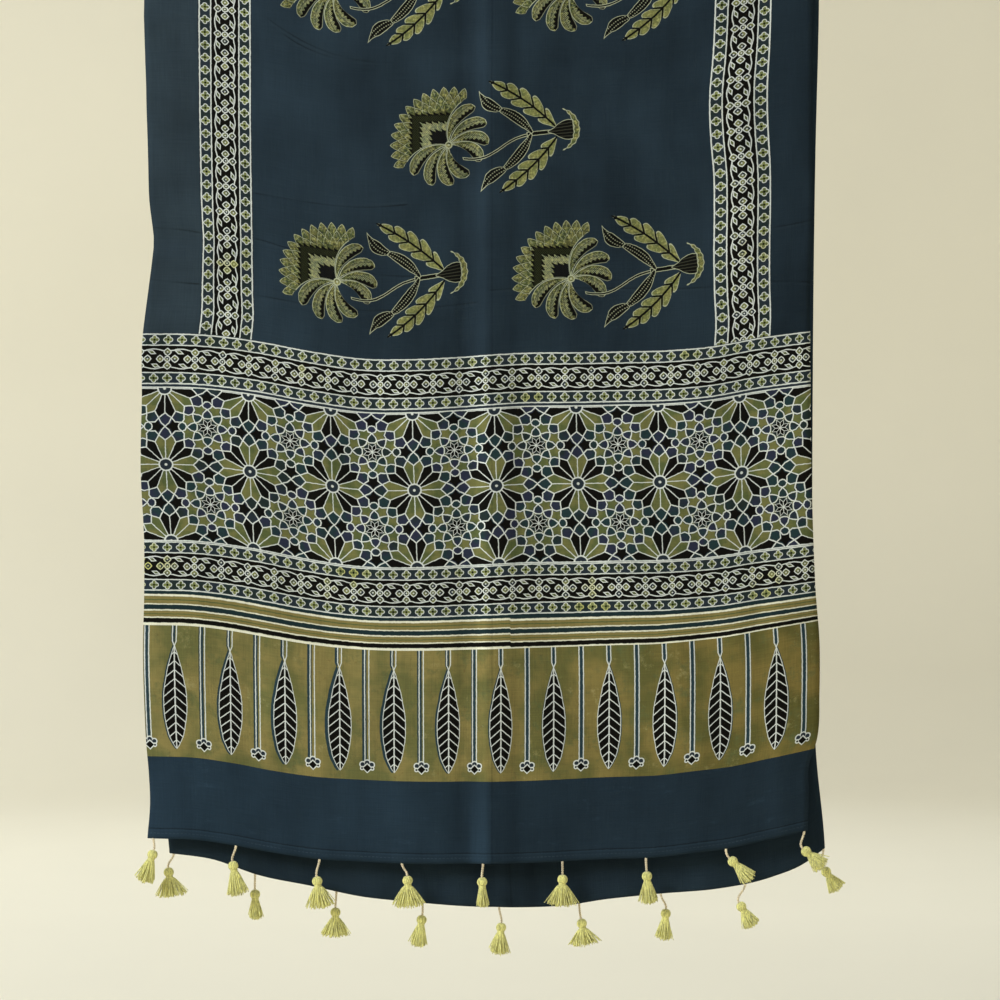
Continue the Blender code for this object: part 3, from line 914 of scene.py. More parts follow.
def leaf_material(settings):
    """The band of long leaves and budded stems on mottled olive."""
    ink = Print("leaf_print", settings, wobble=0.35)
    shade, dye = ink.shade, ink.dye
    pitch = 45.7
    down = LEAVES_END / MM - ink.v
    hidden = ink.u.ramp(1 / 85, 25 / 85) * 4.4 - 1.8
    x = (ink.u - 18.4 + hidden).repeat(pitch)
    side = abs(x)
    # the mottled ground
    ground = ink.mottled(lighter(dye["ochre"], 0.92), lighter(dye["olive"], 0.90), 26.0)
    # painted shade: the ground darker towards the right, as the light from the left falls off
    painted_falloff_share = ink.u.ramp(1 / 300, 0.25)
    painted_shade_ground = shade.mix(1.0, ground, (0.80, 0.75, 0.62, 1.0), "MULTIPLY")
    ground = shade.mix(painted_falloff_share, ground, painted_shade_ground)
    green = tint(88, 96, 60)
    brown = tint(98, 78, 44)
    worn = tint(176, 168, 116)
    patch = shade.noise(ink.place, 55.0, detail=6.0, roughness=0.7)
    ground = shade.mix(patch.over(0.53, 7.0) * 0.7, ground, green)
    pale = shade.noise(ink.place, 34.0, detail=8.0, roughness=0.8)
    ground = shade.mix(pale.over(0.58, 5.0) * 0.8, ground, worn)
    speck = shade.noise(ink.place, 190.0, detail=4.0, roughness=0.75)
    ground = shade.mix(speck.over(0.60, 5.0), ground, brown)
    crackle = shade.node(
        "ShaderNodeTexVoronoi",
        {"feature": "DISTANCE_TO_EDGE"},
        {"Vector": ink.flat, "Scale": 0.14},
    )
    cracks = (crackle - 0.018).inside(0.02) * patch.over(0.47, 4.0)
    ground = shade.mix(cracks * 0.5, ground, brown)
    # one leaf: its half width is a curve over its length
    tip, length = 15.6, 86.8
    share = (down - tip) * (1 / length)
    half = shade.curve(share, LONG_LEAF) * 9.9
    inside = (side - half) * 0.93
    within = inside.most(past(share, length))
    vein = (down - side * 0.84).repeat(7.3)
    veins = vein.line(0.95).most((side - 0.48).inside())
    veins = veins.most((abs(inside) - 0.55).inside())
    leaf = shade.mix(veins, dye["black"], dye["white"])
    # its stalk and the stem between two leaves: two pale lines each
    taper = ((tip - down) * 0.40 + 0.45).least(1.6)
    stalk = (abs(side - taper) - 0.42).most(down - tip - 1.2)
    far = pitch / 2 - side
    stem = (abs(far - 1.75) - 0.42).most(down - 93.5)
    # the bud: round petals over a black crown with pointed sides and foot
    rise = down - 92.0
    place = shade.join(far, rise)
    rounds = []
    for row in ((0.0, 2.9, 3.0), (3.8, 4.3, 2.8), (4.3, 7.4, 1.8)):
        rounds.append(shade.vector("DISTANCE", place, (row[0], row[1], 0.0), out=1) - row[2])
    upper = rounds[0].least(rounds[1])
    lower = (far * 0.80 + abs(rise - 7.2) * 0.85 - 3.7).least(rounds[2])
    bud = upper.least(lower)
    bud_ink = shade.mix((upper + 0.95).inside(), dye["white"], dye["slate"])
    bud_ink = shade.mix(lower.inside(), bud_ink, dye["white"])
    bud_ink = shade.mix((lower + 0.95).inside(), bud_ink, dye["black"])
    # the indigo that was printed a little to one side of the lines
    shift = (abs(ink.u + 130.0) * -0.0125 + 2.5).most(-0.4)
    x2 = (ink.u - 18.4 + hidden + shift).repeat(pitch)
    side2 = abs(x2)
    far2 = pitch / 2 - side2
    shade_leaf = (side2 - half - 0.3).most(past(share, length))
    shade_stem = (far2 - 1.9).most(down - 93.5)
    shade_stalk = (side2 - taper).most(down - tip)
    shadow = shade_leaf.least(shade_stem).least(shade_stalk)
    blue = tint(40, 58, 64)
    colour = shade.mix(shadow.inside(0.5), ground, blue)
    colour = shade.mix(stem.least(stalk).inside(), colour, dye["white"])
    colour = shade.mix(bud.inside(), colour, bud_ink)
    colour = shade.mix(within.inside(), colour, leaf)
    return ink.finish(colour)


# Horizontal folds, drawn as fine lines of painted shadow: the two ends and how far each one bends
FIELD_FOLDS = (
    ((-191, 507), (-86, 492), 1.2),
    ((-86, 492), (-9, 490), -0.8),
    ((-191, 459), (0, 466), -1.0),
    ((8, 475), (195, 471), 1.5),
    ((-60, 551), (-191, 545), 1.5),
    ((-178, 697), (-73, 670), -7.8),
    ((-165, 686), (-98, 671), -5.0),
)
MARGIN_FOLDS = (
    ((-282, 510), (-236, 506), 0.6),
    ((-282, 467), (-236, 463), -0.8),
    ((244, 467), (284, 461), 0.7),
    ((244, 512), (284, 515), -0.6),
)


def folds(ink, colour, table):
    """Each fold as a fine line of painted shadow with a paler line of painted highlight under it,
    both fading in places.
    """
    shade = ink.shade
    fade = shade.noise(ink.place, 22.0).ramp(2.4, -0.7)
    dark, pale = None, None
    for start, end, bend in table:
        share, across, length = slanted(ink.u, ink.v, start, end, bend)
        ends = (past(share, length) + 1.0).inside(4.0)
        first = across.line(0.9, 1.3) * ends
        second = (across + 1.9).line(1.0, 1.8) * ends
        dark = first if dark is None else dark.most(first)
        pale = second if pale is None else pale.most(second)
    # painted highlight under each fold, then painted shadow along it
    colour = shade.mix(pale * fade * 0.35, colour, lighter(ink.dye["margin"], 1.25))
    return shade.mix(dark * fade * 0.8, colour, ink.dye["black"])


def reverse_material(settings):
    """The unprinted inner side of the cloth."""
    ink = Print("reverse_dye", settings)
    return ink.finish(ink.washed(ink.dye["indigo"], 0.72))


def margin_material(settings):
    """The margins outside the side borders, with painted shade that darkens them from the
    paler dye at the left to the deeper one at the right, as the light from the left falls off,
    and the uneven upright streaks of painted fold shade that the finish adds."""
    ink = Print("margin_dye", settings)
    shade = ink.shade
    left, right = ink.dye["margin"], ink.dye["indigo"]
    pale, deep = ink.washed(left, 0.76, 1.10), ink.washed(right, 0.62, 0.88)
    # painted shade: the paler left dye gives way to the darker right one across the cloth
    colour = shade.mix(ink.u.ramp(1 / 460, 0.5), pale, deep)
    return ink.finish(folds(ink, colour, MARGIN_FOLDS))


def panel_material(settings):
    """The plain end panel: worn marks, painted shade that darkens it towards the right, a
    paler strip down the pressed middle that is partly worn dye and partly painted highlight,
    and the hem's row of stitches, with a painted shadow line along the turned hem's top edge
    and a painted highlight line just under it."""
    ink = Print("panel_dye", settings)
    shade = ink.shade
    left, right = ink.dye["panel"], ink.dye["indigo"]
    colour = ink.washed(left, 0.74)
    # painted shade: the panel darker towards the right, as the light from the left falls off
    side = ink.u.ramp(1 / 460, 0.5)
    colour = shade.mix(side * 0.75, colour, lighter(right, 0.80))
    # the pressed middle: partly worn dye, partly painted highlight
    strip = (abs(ink.u - 1.0) - 8.5).inside(5.0)
    strip = strip * ink.v.ramp(-1 / 60, 1.35)
    colour = shade.mix(strip * 0.6, colour, lighter(left, 1.35))
    run = shade.vector("MULTIPLY", ink.place, (36.0, 95.0, 1.0))
    marks = shade.noise(run, 1.0, detail=6.0, roughness=0.75)
    worn = marks.over(0.58, 5.0)
    colour = shade.mix(worn * 0.35, colour, lighter(left, 2.2))
    fade = shade.noise(ink.place, 26.0).ramp(3.0, -0.9)
    dash = (ink.u.turned(3.3) - 1.05).most(abs(ink.v - 4.6) - 0.32)
    colour = shade.mix(dash.inside(0.4) * fade * 0.4, colour, lighter(ink.dye["margin"], 2.2))
    # painted shadow along the turned hem's top edge, and a painted highlight just under it
    colour = shade.mix((ink.v - 8.6).line(0.8, 0.9) * 0.6, colour, ink.dye["black"])
    colour = shade.mix((ink.v - 7.4).line(0.9, 1.0) * 0.25, colour, lighter(left, 1.8))
    return ink.finish(colour)


# The flower's places, in millimetres: the first one's small round middle, the steps to
# the next ones, and how far the odd rows stand from the half step
FLOWER_U, FLOWER_V = -120.6, 482.8
FLOWER_STEP_U, FLOWER_STEP_V = 197.3, 122.2
ODD_U, ODD_V = -25.5, -5.4
CROWN_SIDE = math.radians(137)
DEGREE = 180 / math.pi


def slanted(x, y, base, tip, bend=0.0):
    """Places along a leaf: the share of the way from its base to its tip, and the
    distance to the left of its bent midrib."""
    run = (tip[0] - base[0], tip[1] - base[1])
    length = math.hypot(*run)
    cx, cy = run[0] / length, run[1] / length
    share = x.math("MULTIPLY_ADD", cx / length, -(base[0] * cx + base[1] * cy) / length)
    share = y.math("MULTIPLY_ADD", cy / length, share)
    across = x.math("MULTIPLY_ADD", -cy, base[0] * cy - base[1] * cx)
    across = y.math("MULTIPLY_ADD", cx, across)
    if bend:
        across = across - (share - share * share) * (4 * bend)
    return share, across, length


def brushed_olive(ink):
    """The flowers' olive: patches of two dyes under short pale and dark strokes."""
    shade, dye = ink.shade, ink.dye
    green = ink.mottled(dye["olive"], dye["moss"], 110.0)
    stroke = shade.noise(ink.place, 420.0, detail=3.0, roughness=0.6)
    light = stroke.over(0.52, 7.0)
    dark = (0.47 - stroke).math("MULTIPLY", 9.0, clamp=True)
    green = shade.mix(light * 0.75, green, tint(176, 174, 108))
    return shade.mix(dark * 0.8, green, dye["moss_dark"])


def toothed_leaf(ink, x, y, base, tip, bend, half, colour, green):
    """A broad leaf with a few lobes a side, black veins and a pale edge."""
    shade, dye = ink.shade, ink.dye
    share, across, length = slanted(x, y, base, tip, bend)
    side = abs(across)
    place = share * 5.4 - side * 0.085
    lobe = place.turned(1.0) * 2
    width = shade.curve(share, BLADE) * half
    edge = side - width * (0.66 + (lobe * (2 - lobe)) * 0.46)
    lit = shade.mix(lobe * (2 - lobe) * 0.35, green, tint(150, 150, 90))
    leaf = shade.mix((edge + 0.55).inside(), dye["pale"], lit)
    near = place.turned(1.0) * (length / 5.4)
    leaf = shade.mix((near - 1.05).inside(0.5), leaf, dye["black"])
    ring = abs(near - 1.7) - 0.25
    leaf = shade.mix(ring.inside(0.4) * 0.6, leaf, dye["pale"])
    leaf = shade.mix((side - 0.85).inside(), leaf, dye["black"])
    barbs = (share * length * 2 + side).turned(2.2).line(0.6, 0.5)
    leaf = shade.mix(barbs * 0.30 * (side - width * 0.5).inside(), leaf, dye["black"])
    return shade.mix(edge.inside(), colour, leaf)


def rimmed(ink, colour, shape, fill, rim=0.5, soft=0.3):
    """A shape filled with one dye inside a pale edge."""
    within = ink.shade.mix((shape + rim).inside(soft), ink.dye["pale"], fill)
    return ink.shade.mix(shape.inside(), colour, within)


def beaded_leaf(ink, x, y, base, tip, bend, half, outline, colour):
    """A slim dark leaf with a pale edge and a row of pale beads."""
    shade, dye = ink.shade, ink.dye
    share, across, length = slanted(x, y, base, tip, bend)
    side = abs(across)
    edge = (side - shade.curve(share, outline) * half).most(past(share, length))
    beads = (share * length).turned(2.1) * 0.9 + abs(side - half * 0.30) - 0.62
    leaf = shade.mix((edge + 0.50).inside(0.3), dye["pale"], dye["black"])
    leaf = shade.mix(beads.inside(0.4) * (edge + 0.9).inside() * 0.7, leaf, dye["pale"])
    return shade.mix(edge.inside(), colour, leaf)


def flower_head(ink, x, y, colour, green):
    """The flower seen from the side. Round its small middle, on the crown's side, three
    rows of pointed petals stand outside two square frames; on both sides of those, four
    curved plumes each bend towards the stem."""
    shade, dye = ink.shade, ink.dye
    r = span(x, y)
    turn = (y.math("ARCTAN2", x) - CROWN_SIDE).math("WRAP", math.pi, -math.pi)
    turn = turn * DEGREE
    away = abs(turn)
    # plumes: k counts them from the crown to the stem
    reach = 39.0 - (away - 80.0) * 0.087
    share = r / reach
    count = (away - share * 40.0 - 40.0) * (1 / 28.0)
    local = count.repeat(1.0)
    across = local * r * (28.0 / DEGREE)
    lobe = (r * (1 / 3.4) - across * 0.12).math("FRACT")
    edge = (abs(across) - shade.curve(share, PLUME) * 5.7).most(r - reach)
    ragged = across - 2.8 + lobe * 1.9
    barbs = (r - across * 0.9).turned(1.9).line(0.7, 0.5)
    plume = shade.mix(barbs * 0.6, green, dye["black"])
    glint = (r - across * 0.9 + 0.9).turned(1.9).line(0.5, 0.4) * (edge + 2.6).inside(1.2)
    plume = shade.mix(glint * 0.75, plume, dye["pale"])
    plume = shade.mix((abs(across + 1.2) - 0.30).inside(0.5) * 0.7, plume, dye["black"])
    plume = shade.mix((-ragged).inside(0.5), plume, dye["black"])
    rim = (edge + 0.6).math("MULTIPLY", -1.0).inside() * (ragged + 0.3).inside(0.6)
    plume = shade.mix(rim.most((abs(edge + 0.3) - 0.3).inside() * 0.5), plume, dye["pale"])
    plume_mask = edge.inside() * count.below(3.5) * count.above(-0.5)
    plume = shade.mix(plume_mask, colour, plume)
    # the crown's petals
    ramp = turn.turned(10.5) * (2 / 10.5)
    fall = ramp * 3.0 + ramp * ramp * 3.2
    other = 1 - ramp
    rest = other * 3.0 + other * other * 3.2
    shrink = (away - 66.0).most(0.0) * 0.65
    outer = r - 49.5 + fall + shrink
    second = r - 43.0 + rest + shrink
    third = r - 37.5 + fall
    edges = (outer + 0.3).line(0.62).most((second + 0.3).line(0.58)).most((third + 0.3).line(0.5))
    deep = (third + 5.0).inside(5.0).most((abs(second) - 1.4).inside(1.8) * 0.9)
    crown = shade.mix(deep * 0.45, green, dye["black"])
    ribs = turn.turned(10.5 / 4).line(0.8, 0.8) * (outer + 1.5).inside(0.6)
    crown = shade.mix(ribs * 0.45, crown, dye["black"])
    shine = turn.turned(10.5 / 2).line(0.7, 0.6) * (abs(outer + 4.0) - 1.8).inside(1.5)
    crown = shade.mix(shine * 0.5, crown, dye["pale"])
    crown = shade.mix(edges, crown, dye["pale"])
    # the two frames round the middle
    left = -x
    top = y * 1.20
    frame_at = left.most(top)
    zag = (left - top).turned(5.2)
    teeth = (left - top).turned(1.7)
    crown = shade.mix((frame_at + zag * 1.25 - 34.0).inside(0.5), crown, dye["black"])
    hatch = teeth.line(0.4, 0.4) * (abs(frame_at - 27.5) - 3.0).inside(1.5)
    crown = shade.mix(hatch * 0.55, crown, dye["moss"])
    inner = shade.mix(teeth.line(0.6, 0.4) * 0.7, green, dye["pale"])
    crown = shade.mix((frame_at + zag * 1.2 - 24.5).inside(0.5), crown, inner)
    core = shade.mix(teeth.line(0.4, 0.3) * 0.35, dye["black"], dye["slate"])
    crown = shade.mix((frame_at + zag * 1.1 - 16.6).inside(0.5), crown, core)
    crown_mask = outer.inside() * (count + 0.5).inside(0.03)
    made = shade.mix(crown_mask, plume, crown)
    seam = (count + 0.5).line(0.04, 0.03) * (r - 37.5).inside()
    made = shade.mix(seam, made, dye["pale"])
    middle = shade.mix((r - 2.2).inside(), dye["pale"], green)
    middle = shade.mix((r - 0.9).inside(), middle, dye["pale"])
    return shade.mix((r - 3.1).inside(), made, middle)


def calyx(ink, x, y, colour, green):
    """The dark cup at the foot of the stem, and the scalloped green crescent beyond it."""
    shade, dye = ink.shade, ink.dye
    share, across, length = slanted(x, y, (84.0, 7.6), (106.0, 9.9))
    cup = (abs(across) - shade.curve(share, CUP) * 8.6).most(past(share, length))
    ring_x, ring_y = x - 90.0, y - 9.6
    round_it = span(ring_x, ring_y)
    turn = abs(ring_y.math("ARCTAN2", ring_x)) * DEGREE
    taper = turn * turn * (-3.0 / 5600.0) + 3.0
    scallop = turn.turned(17.0) * 0.10
    crescent = abs(round_it - 18.4 - turn * 0.006) - taper + scallop
    crescent = crescent.most((turn - 76.0) * 0.3)
    ink_cup = shade.mix((cup + 0.5).inside(), dye["pale"], dye["black"])
    slats = (across * (1.2 - share * 0.3)).turned(2.7).line(0.6, 0.4)
    ink_cup = shade.mix(slats * 0.10, ink_cup, dye["pale"])
    colour = shade.mix(cup.inside(), colour, ink_cup)
    return rimmed(ink, colour, crescent, green, 0.55, 0.35)


# The branch's leaves in millimetres: base, tip, the midrib's bend and half the width, and
# for the slim ones their outline
BROAD_LEAVES = (
    ((92.0, 10.5), (33.0, 52.5), -3.4, 7.9),
    ((92.0, 4.0), (42.0, -43.5), 3.4, 7.7),
)
SLIM_LEAVES = (
    ((71.0, 6.5), (42.5, 28.0), -2.6, 4.4, SLIM),
    ((70.0, 6.0), (46.0, -24.0), 2.6, 4.4, SLIM),
    ((44.0, 27.0), (25.5, 44.5), 3.4, 5.0, BUD),
    ((47.5, -23.0), (27.0, -41.5), -3.0, 5.0, BUD),
)


def flower_pattern(ink, ground):
    """One flowering branch, repeated in rows that stand half a step apart."""
    row = ((ink.v - FLOWER_V) * (1 / FLOWER_STEP_V)).math("ROUND")
    odd = row.math("PINGPONG", 1.0)
    y = ink.v - FLOWER_V - row * FLOWER_STEP_V - odd * ODD_V
    even_x = (ink.u - FLOWER_U).math("WRAP", FLOWER_STEP_U - 60.0, -60.0)
    odd_x = ink.u - ODD_U
    x = even_x + (odd_x - even_x) * odd
    green = brushed_olive(ink)
    colour = flower_head(ink, x, y, ground, green)
    # the thin stalk of the flower, the branch and its leaves
    share, across, length = slanted(x, y, (12.0, -12.0), (72.0, 6.0), -3.2)
    sway = (share * 2 * math.pi).math("SINE") * 3.0
    stalk = (abs(across + sway) - 1.15).most(past(share, length))
    colour = rimmed(ink, colour, stalk, ink.dye["black"])
    share, across, length = slanted(x, y, (66.0, 5.5), (94.0, 8.5))
    stem = (abs(across) - 1.9).most(past(share, length))
    colour = rimmed(ink, colour, stem, ink.dye["black"])
    for leaf in BROAD_LEAVES:
        colour = toothed_leaf(ink, x, y, *leaf, colour, green)
    for leaf in SLIM_LEAVES:
        colour = beaded_leaf(ink, x, y, *leaf, colour)
    return calyx(ink, x, y, colour, green)


def field_material(settings):
    """The indigo field with its flowers."""
    ink = Print("field_print", settings, wobble=0.35)
    shade = ink.shade
    base = ink.dye["indigo"]
    ground = ink.washed(base, 0.74, scale=7.0)
    # painted light: the ground paler towards the left edge, where the light from the left falls
    # strongest
    left = ink.u.ramp(-1 / 70, -90 / 70)
    ground = shade.mix(left, ground, ink.washed(base, 1.02, 1.20))
    ground = folds(ink, ground, FIELD_FOLDS)
    return ink.finish(flower_pattern(ink, ground))


# The pieces


def cloth_rows():
    """The heights of an end's rows of points above its hem, and the number of the band
    that lies above each row."""
    marks = (0.0, HEM_HEIGHT, PANEL_END, LEAVES_END, STRIPES_END, LOWER_END, STARS_END, BANDS_END)
    counts = (3, 12, 24, 8, 10, 28, 10)
    heights = [np.linspace(a, b, n, endpoint=False) for a, b, n in zip(marks, marks[1:], counts)]
    bands = np.repeat(np.arange(len(counts)), counts)
    return np.concatenate(heights), bands


def cloth_grid(columns):
    """Every point of the sheet as rows, columns and X, Y, Z, with u and v for each, the
    zone of each column and the band that the squares past each row lie in."""
    marks = (-WIDTH / 2, LEFT_MARGIN, LEFT_FIELD, RIGHT_FIELD, RIGHT_MARGIN, WIDTH / 2)
    across = []
    zones = []
    for zone, (start, end) in enumerate(zip(marks, marks[1:])):
        count = max(4, round(columns * (end - start) / WIDTH))
        across.append(np.linspace(start, end, count, endpoint=False))
        zones += [zone] * count
    across = np.concatenate([*across, [WIDTH / 2]])
    heights, bands = cloth_rows()
    points, lengths, row_bands = [], [], []

    def add(place, length, band):
        points.append(np.stack(np.broadcast_arrays(*place), axis=-1))
        lengths.append(np.broadcast_to(length, across.shape))
        row_bands.append(band)

    top = FRONT_DROP - FOLD_RADIUS
    field = np.linspace(BANDS_END, top, 74, endpoint=False)
    front = [*zip(heights, bands), *((height, FIELD_BAND) for height in field)]
    for height, band in front:
        add(front_place(across, np.full_like(across, FRONT_DROP - height)), height, band)
    for turn in np.linspace(0, math.pi, 12, endpoint=False):
        add(fold_place(across, turn), top + FOLD_RADIUS * turn, FIELD_BAND)
    whole = back_drop(across)
    start = top + FOLD_RADIUS * math.pi
    body = whole - BANDS_END - FOLD_RADIUS
    for share in np.linspace(0, 1, 60, endpoint=False):
        add(back_place(across, FOLD_RADIUS + body * share), start + body * share, FIELD_BAND)
    add(back_place(across, whole - BANDS_END), BANDS_END, bands[-1])
    below = np.concatenate([[0], bands[:-1]])
    for height, band in zip(heights[::-1], below[::-1]):
        add(back_place(across, whole - height), height, band)
    return across, np.array(zones), np.array(points), np.array(lengths), row_bands


class STOLE_OT_cloth(Operator):
    """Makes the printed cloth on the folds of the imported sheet"""

    bl_idname = "stole.cloth"
    bl_label = "Printed cloth"

    def execute(self, context):
        settings = context.scene.stole_cloth
        across, zones, points, lengths, bands = cloth_grid(settings.columns)
        rows, columns = points.shape[:2]
        faces = grid_faces(rows, columns)
        upper = (STARS_END + 0.0015 + BANDS_END) / 2 / MM
        lower = (STRIPES_END + LOWER_END) / 2 / MM
        left = (LEFT_MARGIN + LEFT_FIELD) / 2 / MM
        right = (RIGHT_MARGIN + RIGHT_FIELD) / 2 / MM
        materials = [
            panel_material(settings),
            leaf_material(settings),
            stripe_material(settings),
            border_material("lower_border", settings, lower, 0.975, 5.7, 1.004, False),
            star_material(settings),
            border_material("upper_border", settings, upper, 1.01, 5.5, 0.998, False),
            margin_material(settings),
            border_material("left_border", settings, left, 1.030, 29.1, 0.977, True),
            field_material(settings),
            border_material("right_border", settings, right, 1.153, 3.2, 0.9975, True),
            reverse_material(settings),
        ]
        cloth = new_piece("printed_cloth", points, faces.tolist(), materials)
        mesh = cloth.data
        band = np.repeat(np.array(bands[:-1]), columns - 1)
        zone = np.tile(zones, rows - 1)
        # the materials of the field's zones from left to right, and of the bands upwards
        across_slot = np.array([6, 7, 8, 9, 6])[zone]
        band_slot = np.array([0, 0, 1, 2, 3, 4, 5, 0])[band]
        slots = np.where(band == FIELD_BAND, across_slot, band_slot)
        mesh.polygons.foreach_set("material_index", slots.astype(np.int32))
        places = np.stack([np.broadcast_to(across, lengths.shape), lengths], axis=-1)
        places = places.reshape(-1, 2)[faces.ravel()].reshape(-1, 4, 2)
        self.mend_ends(places, band.reshape(-1), rows, columns)
        layer = mesh.uv_layers.new(name="print")
        layer.data.foreach_set("uv", places.astype(np.float32).ravel())
        self.thicken(cloth, settings, lengths)
        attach(cloth, "root")
        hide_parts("cloth")
        return {"FINISHED"}

    def mend_ends(self, places, band, rows, columns):
        """Where the field meets the back end's bands, v starts again from that hem: the
        field's last squares keep counting on from the front hem."""
        squares = places.reshape(rows - 1, columns - 1, 4, 2)
        bands = band.reshape(rows - 1, columns - 1)[:, 0]
        last = np.nonzero(bands == FIELD_BAND)[0][-1]
        squares[last, :, 2, 1] = 2 * squares[last, :, 1, 1] - squares[last - 1, :, 1, 1]
        squares[last, :, 3, 1] = 2 * squares[last, :, 0, 1] - squares[last - 1, :, 0, 1]

    def thicken(self, cloth, settings, lengths):
        """Gives the sheet its thickness, which is greater at the hems. The inner face
        takes the last material, because an offset past the end stops there."""
        group = cloth.vertex_groups.new(name="thickness")
        hemmed = np.repeat(lengths[:, 0] <= HEM_HEIGHT, lengths.shape[1])
        for there, weight in ((~hemmed, settings.thickness / settings.hem), (hemmed, 1.0)):
            group.add(np.nonzero(there)[0].tolist(), weight, "REPLACE")
        solid = cloth.modifiers.new("Thickness", "SOLIDIFY")
        solid.thickness = settings.hem
        solid.offset = 0.0
        solid.vertex_group = group.name
        solid.thickness_vertex_group = 0.0
        solid.material_offset = 20


def hem_point(place, drop_of, x):
    """The hem's edge at X, found by stepping the distance across the layer."""
    across = x
    for _ in range(7):
        at = place(np.array([across]), np.array([drop_of(across)]))
        across += x - float(at[0][0])
    return np.array([float(part[0]) for part in at])


def yarn_material(name, colour, scale):
    """Soft yarn: fuzz, and fine streaks along the yarn of painted highlight and painted shade,
    standing for fibres that catch the light.
    """
    shade = Shade(name, roughness=0.88)
    place = shade.node("ShaderNodeTexCoord", out=3)
    fuzz = shade.noise(place, scale, detail=3.0, roughness=0.6)
    painted_fibre_light = shade.noise(shade.vector("MULTIPLY", place, (1300.0, 1300.0, 45.0)), 1.0, detail=1.0)
    dark = tuple(part * 0.42 for part in colour) + (1.0,)
    pale = tuple(min(1.0, part * 1.22) for part in colour) + (1.0,)
    # painted highlight and painted shade: pale and dark streaks along the yarn
    share = (fuzz * 0.4 + painted_fibre_light - 0.7).ramp(2.4, 0.64)
    tone = shade.mix(share, dark, pale)
    shade.surface.inputs["Sheen Weight"].default_value = 0.35
    shade.surface.inputs["Specular IOR Level"].default_value = 0.15
    return shade.finish(tone, fuzz * 0.2 + 0.78, fuzz, 0.0003, 0.6)


def skirt(tassel, settings, rng):
    """The skirt's yarns. Each leaves the neck at its own place on a disc, swells out and
    falls to a trimmed end: the spread grows with the square root of the way down at first
    and evenly after that."""
    count = settings.strands
    t = np.linspace(0, 1, 9)[None, :]
    reach = np.sqrt((np.arange(count) + 0.5) / count)
    angle = np.arange(count) * math.pi * (3 - math.sqrt(5))
    ux = (reach * np.cos(angle))[:, None]
    uy = (reach * np.sin(angle))[:, None]
    wide = tassel.spread * MM * 0.96
    deep = min(tassel.spread * MM, 0.0060)
    length = (tassel.length - 1.0) * MM * (1 - 0.13 * rng.random((count, 1)))
    length = length * (1 - 0.10 * ux**2)
    open_out = 0.30 * np.sqrt(t) + 0.70 * t
    neck, neck_drop = 0.0024, 0.0042
    x = ux * (neck + (wide - neck) * open_out)
    y = uy * (neck + (deep - neck) * open_out)
    sway = rng.normal(0, 0.0008, (count, 2))
    x = x + sway[:, :1] * t**1.5
    y = y + sway[:, 1:] * t**1.5
    z = -neck_drop - (length - neck_drop) * t
    centres = np.stack([x, y, np.broadcast_to(z, x.shape)], axis=-1)
    radii = settings.yarn_radius * (1 - 0.25 * t**4) * np.ones((count, 1))
    return tubes(centres, radii, 4)


def head():
    """The bound head: yarns drawn over a ball and down to the neck, and a yarn wound
    three times round the neck."""
    count = 16
    t = np.linspace(0, 1, 9)[None, :]
    angle = (2 * np.pi * np.arange(count) / count)[:, None]
    turn = t * 0.96
    radius = 0.0034 * np.sin(np.pi * (0.06 + 0.80 * turn)) + 0.0002
    z = 0.0031 * np.cos(np.pi * 0.94 * turn)
    slant = angle + 0.2 * t
    centres = [radius * np.cos(slant), radius * np.sin(slant), z + 0 * angle]
    centres = np.stack(centres, axis=-1)
    over = tubes(centres, np.full(centres.shape[:2], 0.00078), 5)
    t = np.linspace(0, 1, 40)[None, :]
    around = 2 * np.pi * 3 * t
    ring = 0.0026
    wound = np.stack([ring * np.cos(around), ring * np.sin(around), -0.0032 - 0.0016 * t], axis=-1)
    bound = tubes(wound, np.full(wound.shape[:2], 0.00058), 6)
    return over, bound


def ball(radius, height, rings=8, sides=12):
    """A closed ball-like core, from rings between two poles."""
    theta = np.linspace(0, np.pi, rings + 1)[1:-1][:, None]
    phi = (2 * np.pi * np.arange(sides) / sides)[None, :]
    x = radius * np.sin(theta) * np.cos(phi)
    y = radius * np.sin(theta) * np.sin(phi)
    z = height * np.cos(theta) + 0 * phi
    points = np.stack([x, y, z], axis=-1).reshape(-1, 3)
    points = np.concatenate([points, [[0, 0, height], [0, 0, -height]]])
    here = np.arange(sides)
    after = (here + 1) % sides
    row = (np.arange(rings - 2) * sides)[:, None]
    quads = np.stack([row + here, row + sides + here, row + sides + after, row + after], axis=-1)
    top = (rings - 1) * sides
    tail = top - sides
    caps = np.stack([here, after, np.full(sides, top)], axis=-1)
    feet = np.stack([tail + after, tail + here, np.full(sides, top + 1)], axis=-1)
    return points, quads.reshape(-1, 4), np.concatenate([caps, feet])


